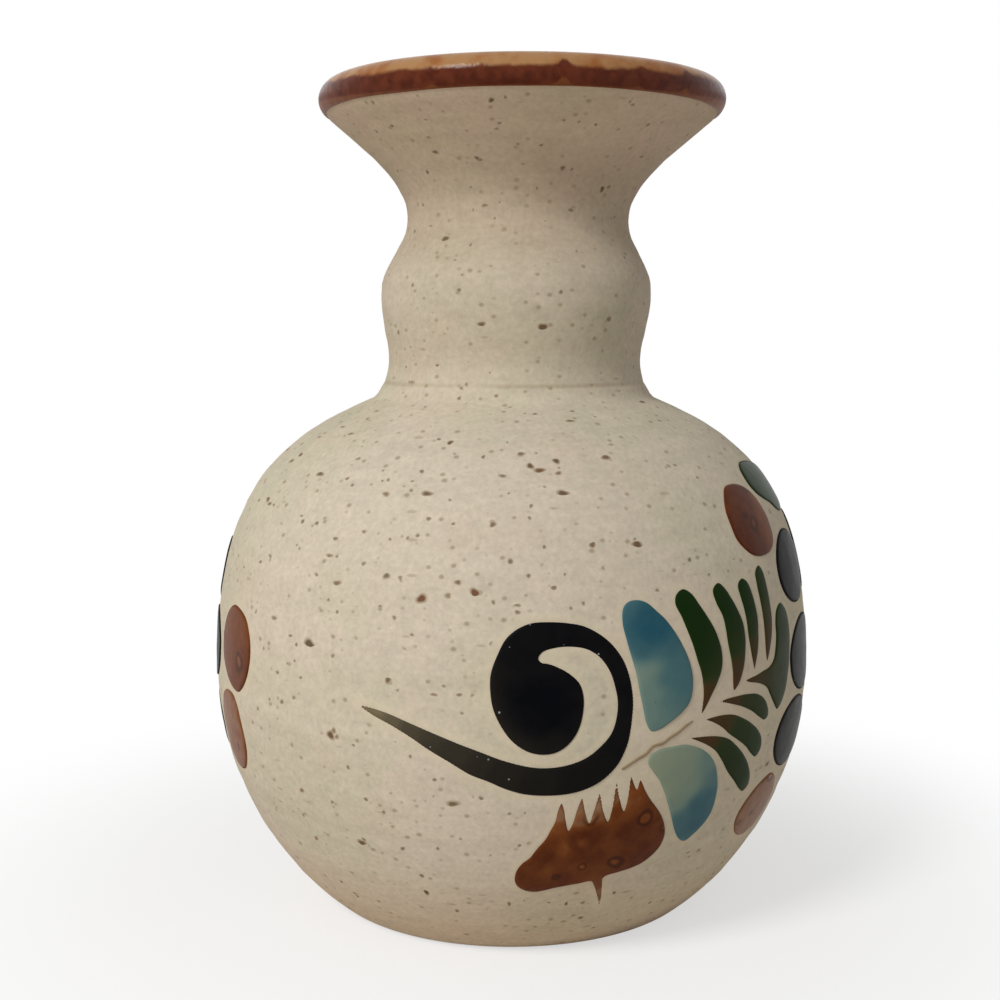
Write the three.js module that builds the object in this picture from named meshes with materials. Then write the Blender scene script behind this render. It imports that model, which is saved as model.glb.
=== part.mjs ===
// Hand-thrown stoneware bud vase with a painting in thick, raised glaze.
// Millimetres, +Z up, origin on the ground at the centre of the foot.
// The front of the vase faces -Y and +X is to its right.

import * as THREE from 'three';
import { mergeVertices } from 'three/addons/utils/BufferGeometryUtils.js';
import { TessellateModifier } from 'three/addons/modifiers/TessellateModifier.js';

// Radii of the clay's outside, from the foot up
const footRadius = 29.8;
const bellyRadius = 47.8;
const neckRootRadius = 22.7;
const waistRadius = 20.3;
const bulgeRadius = 21.7;
const throatRadius = 17.7;
const rimRadius = 31.1;

// Height of each stretch of the outside, from the foot up
const lowerBellyRise = 38.2;
const upperBellyRise = 42.4;
const rootFilletRise = 5.5;
const bulgeRise = 11.4;
const throatRise = 11.3;
const flareRise = 16.3;

// Slopes in degrees from level, and how far each curve runs along its end slopes
const footSlope = 37;
const shoulderSlope = 22.8;
const flareSlope = 39.2;
const footHandle = 8.8;
const lowerBellyHandle = 19.7;
const upperBellyHandle = 29;
const shoulderHandle = 15.4;
const rootHandle = 1.2;
const waistHandle = 1.6;
const throatHandle = 4.9;
const rimHandle = 12.8;

// The lip is a half circle, and the neck was left a little off the foot's centre
const lipRadius = 2.8;
const neckLean = 1.6;

// Clay thickness, foot ring and the hollow inside
const wallThickness = 4.6;
const floorThickness = 6.5;
const floorFillet = 7;
const footRingWidth = 6;
const footRecess = 1.6;

// Glaze coats and painted strokes
const glazeGap = 0.16;
const rimGlazeDepth = 0.4;
const linerGlazeDepth = 0.4;
const strokeDepth = 0.5;
const coatGap = 0.3;
const rimGlazeReach = 0.55;

// Fineness of the solids
const turnSteps = 48;
const outsideSteps = [5, 7, 2, 3, 3, 5];
const insideSteps = [3, 3, 1, 1, 1, 2];
const lipSteps = 5;
const filletSteps = 2;
const longestStrokeEdge = 6;

const clay = { color: '#cbbf9f', roughness: 0.85, metalness: 0 };
const rimBrown = { color: '#5e2f19', roughness: 0.22, metalness: 0 };
const linerBrown = { color: '#7a4a26', roughness: 0.3, metalness: 0 };
const blueBlack = { color: '#14151d', roughness: 0.2, metalness: 0 };
const seaBlue = { color: '#3f8096', roughness: 0.22, metalness: 0 };
const leafGreen = { color: '#243a17', roughness: 0.22, metalness: 0 };
const rustBrown = { color: '#612f19', roughness: 0.22, metalness: 0 };
const stemBrown = { color: '#7d6a50', roughness: 0.5, metalness: 0 };

const footHeight = 0;
const bellyHeight = footHeight + lowerBellyRise;
const neckRootHeight = bellyHeight + upperBellyRise;
const waistHeight = neckRootHeight + rootFilletRise;
const bulgeHeight = waistHeight + bulgeRise;
const throatHeight = bulgeHeight + throatRise;
const rimHeight = throatHeight + flareRise;

/** A 2D vector of a given length at an angle in degrees from level. */
function slope(angle, length) {
  const radians = THREE.MathUtils.degToRad(angle);
  return new THREE.Vector2(Math.cos(radians), Math.sin(radians)).multiplyScalar(length);
}

/** A cubic curve between two points, given what to add to each end to reach its handle. */
function cubic(start, startHandle, endHandle, end) {
  const handles = [start.clone().add(startHandle), end.clone().add(endHandle)];
  const curve = new THREE.CubicBezierCurve(start, ...handles, end);
  return (t) => curve.getPoint(t);
}

/** A soft S between two points that leaves and arrives upright. */
function easedRise(start, end) {
  return (t) => {
    const blend = (1 - Math.cos(Math.PI * t)) / 2;
    return new THREE.Vector2(
      THREE.MathUtils.lerp(start.x, end.x, blend),
      THREE.MathUtils.lerp(start.y, end.y, t),
    );
  };
}

const foot = new THREE.Vector2(footRadius, footHeight);
const belly = new THREE.Vector2(bellyRadius, bellyHeight);
const neckRoot = new THREE.Vector2(neckRootRadius, neckRootHeight);
const waist = new THREE.Vector2(waistRadius, waistHeight);
const bulge = new THREE.Vector2(bulgeRadius, bulgeHeight);
const throat = new THREE.Vector2(throatRadius, throatHeight);
const rim = new THREE.Vector2(rimRadius, rimHeight);

/** The outside from the foot to the rim, as curves of radius and height for t from 0 to 1. */
const stretches = [
  cubic(foot, slope(footSlope, footHandle), slope(-90, lowerBellyHandle), belly),
  cubic(belly, slope(90, upperBellyHandle), slope(-shoulderSlope, shoulderHandle), neckRoot),
  cubic(neckRoot, slope(180 - shoulderSlope, rootHandle), slope(-90, waistHandle), waist),
  easedRise(waist, bulge),
  easedRise(bulge, throat),
  cubic(throat, slope(90, throatHandle), slope(180 + flareSlope, rimHandle), rim),
];
const flare = stretches.length - 1;
const lowerBelly = 0;

/** Position and outward normal at t on one stretch of the outside. */
function outsideAt(stretch, t) {
  const step = 0.001;
  const before = stretches[stretch](Math.max(t - step, 0));
  const after = stretches[stretch](Math.min(t + step, 1));
  const along = after.sub(before).normalize();
  return { point: stretches[stretch](t), normal: new THREE.Vector2(along.y, -along.x) };
}

/** The outside as a dense row of points, each with its normal and its distance from the foot. */
function measureOutside() {
  const samples = 60;
  const rows = [];
  for (let stretch = 0; stretch < stretches.length; stretch += 1) {
    for (let i = stretch === 0 ? 0 : 1; i <= samples; i += 1) {
      const row = outsideAt(stretch, i / samples);
      const last = rows[rows.length - 1];
      row.distance = last ? last.distance + last.point.distanceTo(row.point) : 0;
      rows.push(row);
    }
  }
  return rows;
}

const outsideRows = measureOutside();

/** Position and outward normal at a distance along the outside from the foot. */
function outsideAtDistance(distance) {
  let next = 1;
  while (next < outsideRows.length - 1 && outsideRows[next].distance < distance) {
    next += 1;
  }
  const low = outsideRows[next - 1];
  const high = outsideRows[next];
  const share = (distance - low.distance) / (high.distance - low.distance);
  return {
    point: low.point.clone().lerp(high.point, share),
    normal: low.normal.clone().lerp(high.normal, share).normalize(),
  };
}

// The clay lip is thinner than the finished lip by the glaze that covers it
const clayLipRadius = lipRadius - rimGlazeDepth - glazeGap;
const lipWall = lipRadius + clayLipRadius;
const lipCentre = rim.clone().add(slope(90 + flareSlope, lipRadius));

/** A point of the inside: the outside moved in by the wall, and by a coat on it. */
function insideAt(stretch, t, coat) {
  const { point, normal } = outsideAt(stretch, t);
  const thickening = stretch === flare ? THREE.MathUtils.smoothstep(t, 0, 1) : 0;
  const inset = THREE.MathUtils.lerp(wallThickness, lipWall, thickening) + coat;
  return point.addScaledVector(normal, -inset);
}

/** The half circle over the lip, from its outer edge to its inner edge. */
function lipArc(radius, startGap) {
  const points = [];
  const sweep = 180 - THREE.MathUtils.radToDeg(startGap / radius);
  for (let i = 0; i <= lipSteps; i += 1) {
    const angle = flareSlope + 90 - sweep * (1 - i / lipSteps);
    points.push(lipCentre.clone().add(slope(angle, radius)));
  }
  return points;
}

/** How far down the lower belly, as t, the inside reaches before the floor's fillet. */
function floorStart(coat) {
  const filletTop = floorThickness + floorFillet + coat;
  let low = 0;
  let high = 1;
  for (let i = 0; i < 40; i += 1) {
    const middle = (low + high) / 2;
    if (insideAt(lowerBelly, middle, coat).y < filletTop) {
      low = middle;
    } else {
      high = middle;
    }
  }
  return high;
}

/** The inside from t on the flare down to the centre of the floor. */
function insidePath(flareStart, coat) {
  const points = [];
  for (let stretch = flare; stretch >= 0; stretch -= 1) {
    const top = stretch === flare ? flareStart : 1;
    const bottom = stretch === lowerBelly ? floorStart(coat) : 0;
    const steps = insideSteps[stretch];
    for (let i = stretch === flare ? 0 : 1; i <= steps; i += 1) {
      points.push(insideAt(stretch, THREE.MathUtils.lerp(top, bottom, i / steps), coat));
    }
  }
  const floorHeight = floorThickness + coat;
  const wallEnd = points[points.length - 1];
  const before = insideAt(lowerBelly, floorStart(coat) + 0.01, coat);
  const fall = wallEnd.clone().sub(before).normalize();
  const corner = wallEnd.clone().addScaledVector(fall, (wallEnd.y - floorHeight) / -fall.y);
  const floorEdge = new THREE.Vector2(corner.x - floorFillet, floorHeight);
  const fillet = new THREE.QuadraticBezierCurve(wallEnd, corner, floorEdge);
  points.push(...fillet.getPoints(filletSteps).slice(1));
  points.push(new THREE.Vector2(0, floorHeight));
  return points;
}

/** Moves points sideways with height, as the neck of the real pot leans. */
function lean(geometry) {
  const positions = geometry.attributes.position;
  for (let i = 0; i < positions.count; i += 1) {
    const above = Math.max(positions.getZ(i) - bellyHeight, 0) / (rimHeight - bellyHeight);
    positions.setX(i, positions.getX(i) + neckLean * above * above);
  }
  geometry.computeVertexNormals();
  return geometry;
}

/** A named mesh with its own material. */
function piece(name, geometry, look) {
  const mesh = new THREE.Mesh(geometry, new THREE.MeshStandardMaterial(look));
  mesh.name = name;
  return mesh;
}

/** A profile of radius and height turned round the vase's axis. */
function turned(profile) {
  const geometry = new THREE.LatheGeometry(profile, turnSteps);
  geometry.rotateX(Math.PI / 2);
  return lean(geometry);
}

/** The fired clay, foot ring, walls and lip in one piece. */
function vaseBody() {
  const ringInside = footRadius - footRingWidth;
  const profile = [
    new THREE.Vector2(0, footRecess),
    new THREE.Vector2(ringInside - footRecess, footRecess),
    new THREE.Vector2(ringInside, footHeight),
    foot.clone(),
  ];
  for (let stretch = 0; stretch < stretches.length; stretch += 1) {
    for (let i = 1; i <= outsideSteps[stretch]; i += 1) {
      profile.push(outsideAt(stretch, i / outsideSteps[stretch]).point);
    }
  }
  profile.push(...lipArc(clayLipRadius, 0));
  profile.push(...insidePath(1, 0).slice(1));
  return turned(profile);
}

/** The glaze coat over the lip and down into the mouth. */
function rimGlaze() {
  const reach = (coat) => {
    const points = [];
    const steps = 2;
    for (let i = 1; i <= steps; i += 1) {
      points.push(insideAt(flare, THREE.MathUtils.lerp(1, rimGlazeReach, i / steps), coat));
    }
    return points;
  };
  const faceSide = [...lipArc(lipRadius, glazeGap), ...reach(glazeGap + rimGlazeDepth)];
  const claySide = [...lipArc(lipRadius - rimGlazeDepth, glazeGap), ...reach(glazeGap)];
  return turned([...faceSide, ...claySide.reverse(), faceSide[0].clone()]);
}

/** The glaze coat inside the neck and belly and over the floor. */
function linerGlaze() {
  const flareLength = outsideAt(flare, 0).point.distanceTo(outsideAt(flare, 1).point);
  const start = rimGlazeReach - coatGap / flareLength;
  const claySide = insidePath(start, glazeGap);
  const faceSide = insidePath(start, glazeGap + linerGlazeDepth);
  return turned([...claySide.reverse(), ...faceSide]);
}

// Painted outlines lie on the unrolled outside: the first number is the distance round the
// belly from the front, to the right, and the second is the distance up the outside.

/** Outline of a brush stroke from knots of [round, up, half width] along its middle. */
function brushStroke(knots) {
  const stepsPerKnot = 2;
  const rounded = knots.map(([round, up, half]) => new THREE.Vector3(round, up, half * half));
  const curve = new THREE.CatmullRomCurve3(rounded, false, 'catmullrom', 0.5);
  const count = (knots.length - 1) * stepsPerKnot;
  const left = [];
  const right = [];
  for (let i = 0; i <= count; i += 1) {
    const middle = curve.getPoint(i / count);
    const along = curve.getTangent(i / count);
    const half = Math.sqrt(Math.max(middle.z, 0.002));
    const across = new THREE.Vector2(-along.y, along.x).normalize().multiplyScalar(half);
    left.push(new THREE.Vector2(middle.x + across.x, middle.y + across.y));
    right.push(new THREE.Vector2(middle.x - across.x, middle.y - across.y));
  }
  return [...left, ...right.reverse()];
}

/** Outline of an oval dab from its centre, half length, half width and turn in degrees. */
function oval([round, up, halfLength, halfWidth, turn]) {
  const steps = 14;
  const angle = THREE.MathUtils.degToRad(turn);
  const curve = new THREE.EllipseCurve(round, up, halfLength, halfWidth, 0, 2 * Math.PI, false, angle);
  return curve.getPoints(steps).slice(1);
}

/** Smooth closed outline through points of [round, up]. */
function rounded(points) {
  const corners = points.map(([round, up]) => new THREE.Vector3(round, up, 0));
  const curve = new THREE.CatmullRomCurve3(corners, true, 'centripetal');
  return curve.getPoints(points.length * 2).slice(1).map((point) => new THREE.Vector2(point.x, point.y));
}

/** An outline as thick as a stroke, laid on the outside of the vase, moved round it by a distance. */
function laidOn(outline, shift) {
  const shape = new THREE.Shape(outline);
  const flat = new THREE.ExtrudeGeometry(shape, { depth: strokeDepth, bevelEnabled: false });
  flat.deleteAttribute('normal');
  flat.deleteAttribute('uv');
  const divided = new TessellateModifier(longestStrokeEdge, 12).modify(flat);
  const positions = divided.attributes.position;
  for (let i = 0; i < positions.count; i += 1) {
    const { point, normal } = outsideAtDistance(positions.getY(i));
    point.addScaledVector(normal, glazeGap + positions.getZ(i));
    const turn = (positions.getX(i) + shift) / bellyRadius;
    positions.setXYZ(i, point.x * Math.sin(turn), -point.x * Math.cos(turn), point.y);
  }
  const closed = new THREE.BufferGeometry();
  closed.setAttribute('position', positions);
  return lean(mergeVertices(closed, 0.0002));
}

const scroll = [
  [0.9, 57.6], [-0.8, 56.2], [-2.0, 53.9], [-2.8, 51.6], [-2.9, 49.4], [-2.5, 46.8], [-1.5, 44.5],
  [0.1, 42.3], [2.1, 40.9], [4.2, 40.4], [6.2, 40.7], [7.9, 41.9], [9.1, 43.7], [9.7, 45.9],
  [9.8, 48.1], [9.3, 49.9], [8.1, 51.2], [6.5, 52.2], [5.0, 52.8], [4.0, 53.0], [3.6, 53.6],
  [4.2, 54.4], [5.9, 54.9], [8.0, 55.0], [10.2, 54.6], [12.0, 53.5], [13.4, 51.6], [14.2, 49.4],
  [14.6, 47.1], [14.4, 44.9], [13.7, 42.9], [12.1, 41.1], [10.2, 39.7], [7.6, 38.8], [5.0, 38.5],
  [2.5, 38.7], [-1.3, 39.7], [-4.2, 40.8], [-7.0, 41.8], [-9.7, 42.8], [-12.5, 43.8], [-14.8, 44.6],
  [-16.9, 45.3], [-19.1, 45.8], [-21.8, 46.1], [-19.6, 44.9], [-16.9, 43.8], [-13.9, 42.3],
  [-11.1, 40.6], [-8.4, 39.1], [-5.7, 37.5], [-3.1, 36.5], [-0.9, 35.5], [1.7, 34.7], [4.6, 34.4],
  [7.8, 34.5], [10.7, 35.2], [13.0, 36.5], [14.9, 38.5], [16.1, 41.1], [16.7, 44.2], [16.9, 47.3],
  [16.5, 50.1], [15.6, 52.7], [14.0, 55.0], [12.1, 56.6], [10.0, 57.7], [7.7, 58.2], [5.1, 58.4],
  [2.8, 58.3],
];

const upperBlueLeaf = [
  [15.8, 59.8], [16.6, 60.6], [18.1, 60.8], [19.6, 60.3], [20.9, 59.2], [22.4, 57.8], [23.8, 55.9],
  [25.0, 53.9], [25.9, 51.9], [26.5, 49.7], [26.5, 47.6], [25.9, 45.8], [24.6, 44.6], [22.9, 43.6],
  [21.0, 42.7], [19.7, 42.6], [18.9, 43.8], [18.4, 45.9], [17.9, 48.2], [17.4, 50.7], [16.8, 52.9],
  [16.1, 55.4], [15.6, 57.8],
];

const lowerBlueLeaf = [
  [19.4, 38.1], [19.7, 39.2], [21.3, 39.9], [23.3, 40.0], [25.2, 40.0], [27.2, 39.4], [29.1, 38.4],
  [30.7, 37.0], [31.9, 35.0], [32.6, 32.6], [32.8, 30.4], [32.6, 28.1], [31.6, 26.3], [30.1, 24.8],
  [28.6, 23.9], [27.3, 24.5], [25.8, 26.4], [24.6, 28.8], [23.5, 31.2], [22.5, 33.3], [21.4, 35.3],
  [20.2, 36.8],
];

const fernStem = [
  [15.4, 37.6, 0.2], [17.6, 38.8, 0.22], [19.0, 39.5, 0.22], [20.0, 40.4, 0.2], [21.6, 40.7, 0.22],
  [22.6, 41.3, 0.22], [24.0, 41.9, 0.2], [25.2, 42.6, 0.2], [26.6, 43.2, 0.1],
];

const upperLeaflets = [
  [
    [25.8, 61.7], [24.5, 61.0], [24.2, 59.8], [25.1, 57.9], [25.9, 55.9], [26.7, 53.9], [27.4, 51.7],
    [28.1, 49.7], [28.4, 47.9], [28.4, 46.1], [28.1, 43.9], [29.0, 44.9], [30.0, 46.4], [31.1, 47.9],
    [32.0, 49.7], [32.2, 51.4], [31.9, 53.2], [31.1, 55.3], [29.9, 57.3], [28.5, 59.3], [27.2, 61.0],
  ],
  [
    [32.7, 61.9], [31.4, 61.0], [31.8, 59.1], [32.8, 57.2], [33.2, 55.2], [33.5, 53.0], [34.0, 50.8],
    [34.3, 48.8], [34.3, 47.6], [34.5, 46.3], [35.4, 46.9], [36.1, 47.8], [36.8, 49.3], [37.2, 51.4],
    [37.4, 53.5], [37.1, 55.7], [36.2, 57.7], [35.0, 59.6], [33.9, 61.1],
  ],
  [
    [38.2, 61.9], [37.0, 61.1], [37.2, 59.5], [37.7, 57.7], [38.0, 55.6], [38.2, 53.4], [38.6, 51.2],
    [39.0, 49.7], [39.4, 48.5], [39.9, 49.7], [40.4, 51.2], [40.7, 53.2], [40.9, 55.4], [40.7, 57.6],
    [40.2, 59.6], [39.4, 61.3],
  ],
  [
    [43.4, 63.2], [42.0, 62.3], [41.9, 60.4], [42.2, 58.1], [42.4, 56.0], [42.5, 53.8], [42.5, 51.6],
    [42.6, 50.2], [42.9, 49.1], [43.5, 50.0], [44.2, 51.7], [44.9, 54.0], [45.0, 56.2], [44.9, 58.5],
    [44.6, 60.7], [44.2, 62.5],
  ],
];

const lowerLeaflets = [
  [
    [31.2, 45.2], [33.4, 45.4], [35.3, 45.4], [37.4, 45.3], [40.2, 44.8], [42.1, 43.7], [43.1, 42.3],
    [43.3, 41.0], [42.4, 40.5], [40.7, 41.3], [38.6, 42.6], [35.9, 43.8], [33.4, 44.6],
  ],
  [
    [28.8, 43.0], [31.2, 43.2], [34.2, 42.9], [36.5, 42.0], [38.7, 40.8], [40.9, 39.2], [42.0, 37.8],
    [42.2, 36.2], [41.1, 35.1], [39.6, 35.9], [37.9, 37.4], [35.8, 38.8], [33.6, 40.2], [32.2, 41.3],
    [30.3, 42.4],
  ],
  [
    [25.9, 40.8], [28.1, 40.7], [31.4, 40.2], [33.7, 39.4], [35.9, 37.8], [37.9, 36.0], [39.5, 34.1],
    [40.5, 32.1], [40.6, 30.7], [39.5, 29.9], [38.1, 30.7], [36.6, 32.1], [34.4, 34.2], [32.8, 36.2],
    [31.2, 38.0], [29.4, 39.2], [27.6, 40.1],
  ],
];

const fernTip = [
  [37.2, 47.3], [38.3, 47.5], [39.6, 47.6], [41.6, 47.9], [43.6, 48.2], [44.9, 49.0], [45.6, 50.7],
  [46.0, 52.5], [46.1, 54.4], [46.7, 56.0], [48.6, 56.9], [50.3, 55.5], [51.0, 53.4], [51.0, 50.8],
  [50.6, 48.0], [49.9, 45.8], [49.1, 43.9], [47.7, 42.2], [46.2, 41.3], [45.0, 42.4], [43.8, 43.9],
  [42.8, 45.2], [41.1, 46.1], [39.3, 46.6], [38.0, 46.9],
];

const seedPod = [
  [0.5, 19.9], [0.8, 21.9], [1.7, 23.3], [2.7, 24.2], [3.8, 25.9], [4.9, 27.4], [5.6, 28.9],
  [6.2, 30.3], [6.5, 32.0], [7.0, 33.2], [7.4, 32.2], [7.7, 30.5], [8.2, 28.7], [8.8, 29.9],
  [9.2, 31.8], [9.9, 33.8], [10.4, 31.8], [11.2, 29.7], [11.7, 31.5], [12.4, 34.4], [13.1, 31.6],
  [14.0, 29.7], [14.4, 31.4], [14.8, 35.9], [15.4, 33.4], [16.3, 31.1], [16.7, 33.0], [16.9, 36.7],
  [17.4, 35.4], [18.0, 34.3], [18.4, 35.7], [19.4, 33.9], [20.4, 32.4], [21.5, 31.1], [22.7, 29.5],
  [23.7, 27.5], [24.1, 25.9], [23.8, 24.0], [22.8, 22.6], [21.3, 21.4], [19.5, 20.7], [17.1, 20.2],
  [15.0, 19.6], [15.2, 17.3], [15.7, 14.9], [15.9, 12.8], [14.7, 15.6], [13.7, 17.8], [12.9, 19.0],
  [10.8, 18.8], [8.6, 18.5], [6.8, 18.2], [5.4, 17.8], [3.6, 17.5], [2.1, 17.9], [1.0, 18.7],
];

const flowerCentre = [72.6, 48.0, 4.6, 4.6, 0];

const flowerPetals = [
  [57.3, 61.4, 7.8, 5.7, 4],
  [59.2, 47.6, 8.0, 5.9, 0],
  [54.6, 36.0, 7.9, 5.5, 0],
  [71.6, 33.0, 7.8, 4.7, 90],
  [81.2, 35.2, 5.6, 3.6, -56],
  [84.4, 48.0, 6.5, 5.6, 0],
  [80.6, 59.2, 5.9, 3.2, 62],
  [70.6, 62.2, 6.8, 4.2, 94],
];

const berries = [
  [
    [42.1, 75.6], [44.5, 76.0], [46.9, 75.8], [49.0, 75.0], [50.6, 73.6], [51.5, 71.9], [51.9, 70.2],
    [51.8, 68.6], [51.4, 67.0], [50.5, 65.7], [48.8, 64.8], [46.5, 64.4], [43.8, 64.5], [41.9, 65.1],
    [40.4, 66.2], [39.3, 67.6], [39.0, 69.7], [39.1, 71.7], [40.1, 73.7],
  ],
  [
    [48.2, 30.7], [44.6, 30.0], [42.5, 28.8], [41.0, 27.2], [40.3, 25.6], [40.5, 23.9], [41.7, 22.2],
    [43.9, 20.8], [46.9, 20.3], [50.0, 21.1], [52.2, 23.2], [52.8, 26.0], [51.2, 28.9],
  ],
  [
    [98.1, 56.0], [101.4, 55.6], [103.4, 54.6], [104.7, 53.0], [105.4, 51.2], [105.4, 49.0],
    [104.7, 46.6], [103.1, 44.4], [101.3, 43.3], [98.9, 43.6], [96.3, 44.9], [94.3, 47.1],
    [93.6, 49.7], [94.1, 52.2], [95.5, 54.6],
  ],
  [
    [94.4, 42.1], [97.0, 42.7], [99.2, 42.3], [100.5, 41.1], [101.3, 39.3], [101.9, 37.4],
    [102.1, 35.3], [101.5, 33.0], [99.3, 30.7], [96.2, 30.2], [93.7, 31.6], [92.4, 34.4], [92.1, 37.6],
    [92.7, 40.4],
  ],
];

const sideLeaf = [
  [51.5, 75.4], [52.4, 77.8], [54.8, 79.1], [59.0, 79.2], [64.8, 78.5], [70.0, 77.3], [75.2, 75.6],
  [76.2, 74.2], [72.0, 71.7], [67.0, 70.1], [62.5, 69.5], [59.6, 70.2], [57.6, 71.4], [55.0, 72.4],
  [52.7, 73.6],
];

/** One painted spray, which the vase carries twice, half a turn apart. */
function spray(prefix, shift) {
  const group = new THREE.Group();
  const add = (name, outline, look) => {
    group.add(piece(`${prefix}_${name}`, laidOn(outline, shift), look));
  };
  add('scroll', rounded(scroll), blueBlack);
  add('blue_leaf_upper', rounded(upperBlueLeaf), seaBlue);
  add('blue_leaf_lower', rounded(lowerBlueLeaf), seaBlue);
  add('fern_stem', brushStroke(fernStem), stemBrown);
  upperLeaflets.forEach((points, i) => add(`fern_upper_${i + 1}`, rounded(points), leafGreen));
  lowerLeaflets.forEach((points, i) => add(`fern_lower_${i + 1}`, rounded(points), leafGreen));
  add('fern_tip', rounded(fernTip), leafGreen);
  add('seed_pod', rounded(seedPod), rustBrown);
  add('flower_centre', oval(flowerCentre), rustBrown);
  flowerPetals.forEach((petal, i) => add(`petal_${i + 1}`, oval(petal), blueBlack));
  berries.forEach((points, i) => add(`berry_${i + 1}`, rounded(points), rustBrown));
  add('side_leaf', rounded(sideLeaf), leafGreen);
  return group;
}

const vase = new THREE.Group();
vase.add(piece('vase_body', vaseBody(), clay));
vase.add(piece('rim_glaze', rimGlaze(), rimBrown));
vase.add(piece('liner_glaze', linerGlaze(), linerBrown));
vase.add(spray('front', 0));
vase.add(spray('back', Math.PI * bellyRadius));

export default vase;
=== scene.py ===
"""A hand-thrown stoneware bud vase with a painting in thick, raised glaze.

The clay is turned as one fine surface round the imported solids, the coats of glaze on the lip and
inside are turned over it, and each painted dab is a pooled lens of glaze laid on the outside.
Sizes in the classes are millimetres, and a mesh gets metres. The front of the vase faces -Y.
"""

import logging
import math
import random
from dataclasses import dataclass, field
from enum import Enum
from typing import Any

import bpy
import numpy as np
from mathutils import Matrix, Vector, noise
from mathutils.geometry import delaunay_2d_cdt


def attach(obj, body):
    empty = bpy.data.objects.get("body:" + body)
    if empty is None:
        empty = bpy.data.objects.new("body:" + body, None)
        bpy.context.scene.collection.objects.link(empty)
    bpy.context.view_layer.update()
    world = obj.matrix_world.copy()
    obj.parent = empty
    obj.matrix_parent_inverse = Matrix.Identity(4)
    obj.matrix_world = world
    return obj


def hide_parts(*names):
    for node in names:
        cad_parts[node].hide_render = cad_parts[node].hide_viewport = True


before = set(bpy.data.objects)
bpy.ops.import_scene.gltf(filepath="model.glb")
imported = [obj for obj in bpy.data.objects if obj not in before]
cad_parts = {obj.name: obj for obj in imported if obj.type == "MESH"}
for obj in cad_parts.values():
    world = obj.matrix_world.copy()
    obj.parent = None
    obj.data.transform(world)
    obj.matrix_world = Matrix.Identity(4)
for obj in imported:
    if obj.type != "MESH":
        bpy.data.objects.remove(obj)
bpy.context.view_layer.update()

MM = 0.001
BODY = "root"
WHITE = (1.0, 1.0, 1.0, 1.0)
CREASE_UP = 100.2
UP_BELOW = -5.0
UP_INSIDE = 200.0
ROW_SHARE = 0.866
CROWDED = 0.93
PAINT_FAR = 4.0
log = logging.getLogger("bud_vase")

Colour = tuple[int, int, int]
Band = tuple[float, float]
Places = tuple[tuple[float, float], ...]
Tones = tuple[tuple[float, float, float], ...]


# Meshes


def deselect_all() -> None:
    """Leaves nothing selected, so that an operator acts on the new primitive alone."""
    if bpy.context.mode != "OBJECT":
        bpy.ops.object.mode_set(mode="OBJECT")
    bpy.ops.object.select_all(action="DESELECT")


def points_of(piece: bpy.types.Object) -> np.ndarray:
    """The vertices of a piece.

    Args:
        piece: A mesh object at the origin.

    Returns:
        One row of x, y and z in millimetres for each vertex.
    """
    flat = np.zeros(len(piece.data.vertices) * 3)
    piece.data.vertices.foreach_get("co", flat)
    return flat.reshape(-1, 3) / MM


def move_points(piece: bpy.types.Object, points: np.ndarray) -> None:
    """Puts the vertices of a piece at new places, given in millimetres."""
    piece.data.vertices.foreach_set("co", (points * MM).ravel())
    piece.data.update()


def note(piece: bpy.types.Object, name: str, values: np.ndarray) -> None:
    """Stores one number for each vertex, which the finish reads by name."""
    attribute = piece.data.attributes.new(name, "FLOAT", "POINT")
    attribute.data.foreach_set("value", np.asarray(values, dtype=np.float32))


def smoothed(value: np.ndarray, low: float, high: float) -> np.ndarray:
    """Smooth step from 0 at low to 1 at high."""
    share = np.clip((value - low) / (high - low), 0.0, 1.0)
    return share * share * (3.0 - 2.0 * share)


def rough_field(points: np.ndarray, size: float, seed: float = 0.0) -> np.ndarray:
    """Smooth noise from -1 to 1 at rows of x, y and z, with lumps of a size and moved by a seed."""
    shift = Vector((seed, 0.37 * seed, -0.61 * seed))
    return np.array([noise.noise(Vector(row) / size + shift) for row in points])


def piece_from(name: str, points: np.ndarray, faces: list[Any]) -> bpy.types.Object:
    """Makes a piece from points and faces.

    Args:
        name: Its name.
        points: Rows of x, y and z in millimetres.
        faces: Numbers of the points of each face.

    Returns:
        The piece.
    """
    mesh = bpy.data.meshes.new(name)
    mesh.from_pydata((points * MM).tolist(), [], faces)
    piece = bpy.data.objects.new(name, mesh)
    bpy.context.scene.collection.objects.link(piece)
    return piece


def shade_smooth(piece: bpy.types.Object) -> None:
    """Shades a piece smooth, but for its sharp folds.

    Args:
        piece: A mesh object.
    """
    piece.data.polygons.foreach_set("use_smooth", [True] * len(piece.data.polygons))
    piece.data.set_sharp_from_angle(angle=math.radians(75.0))
    piece.data.update()


def outward(turn: np.ndarray) -> np.ndarray:
    """Level steps straight out from the axis, at angles round it from the front."""
    return np.stack([np.sin(turn), -np.cos(turn), np.zeros(len(turn))], axis=1)


def turn_of(points: np.ndarray) -> np.ndarray:
    """Angles round the axis from the front, of rows of x, y and z."""
    return np.arctan2(points[:, 0], -points[:, 1])


# Form of the vase


def slope(angle: float, length: float) -> np.ndarray:
    """A step of a length at an angle in degrees from level, as radius and height."""
    radians = math.radians(angle)
    return length * np.array([math.cos(radians), math.sin(radians)])


def cubic(start: np.ndarray, out: np.ndarray, back: np.ndarray, end: np.ndarray, t: np.ndarray) -> np.ndarray:
    """Points of a cubic curve.

    Args:
        start: First point.
        out: Step from the first point to its handle.
        back: Step from the last point to its handle.
        end: Last point.
        t: Shares of the way along, from 0 to 1.

    Returns:
        One row for each share.
    """
    t = t[:, None]
    s = 1.0 - t
    return s**3 * start + 3 * s**2 * t * (start + out) + 3 * s * t**2 * (end + back) + t**3 * end


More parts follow.
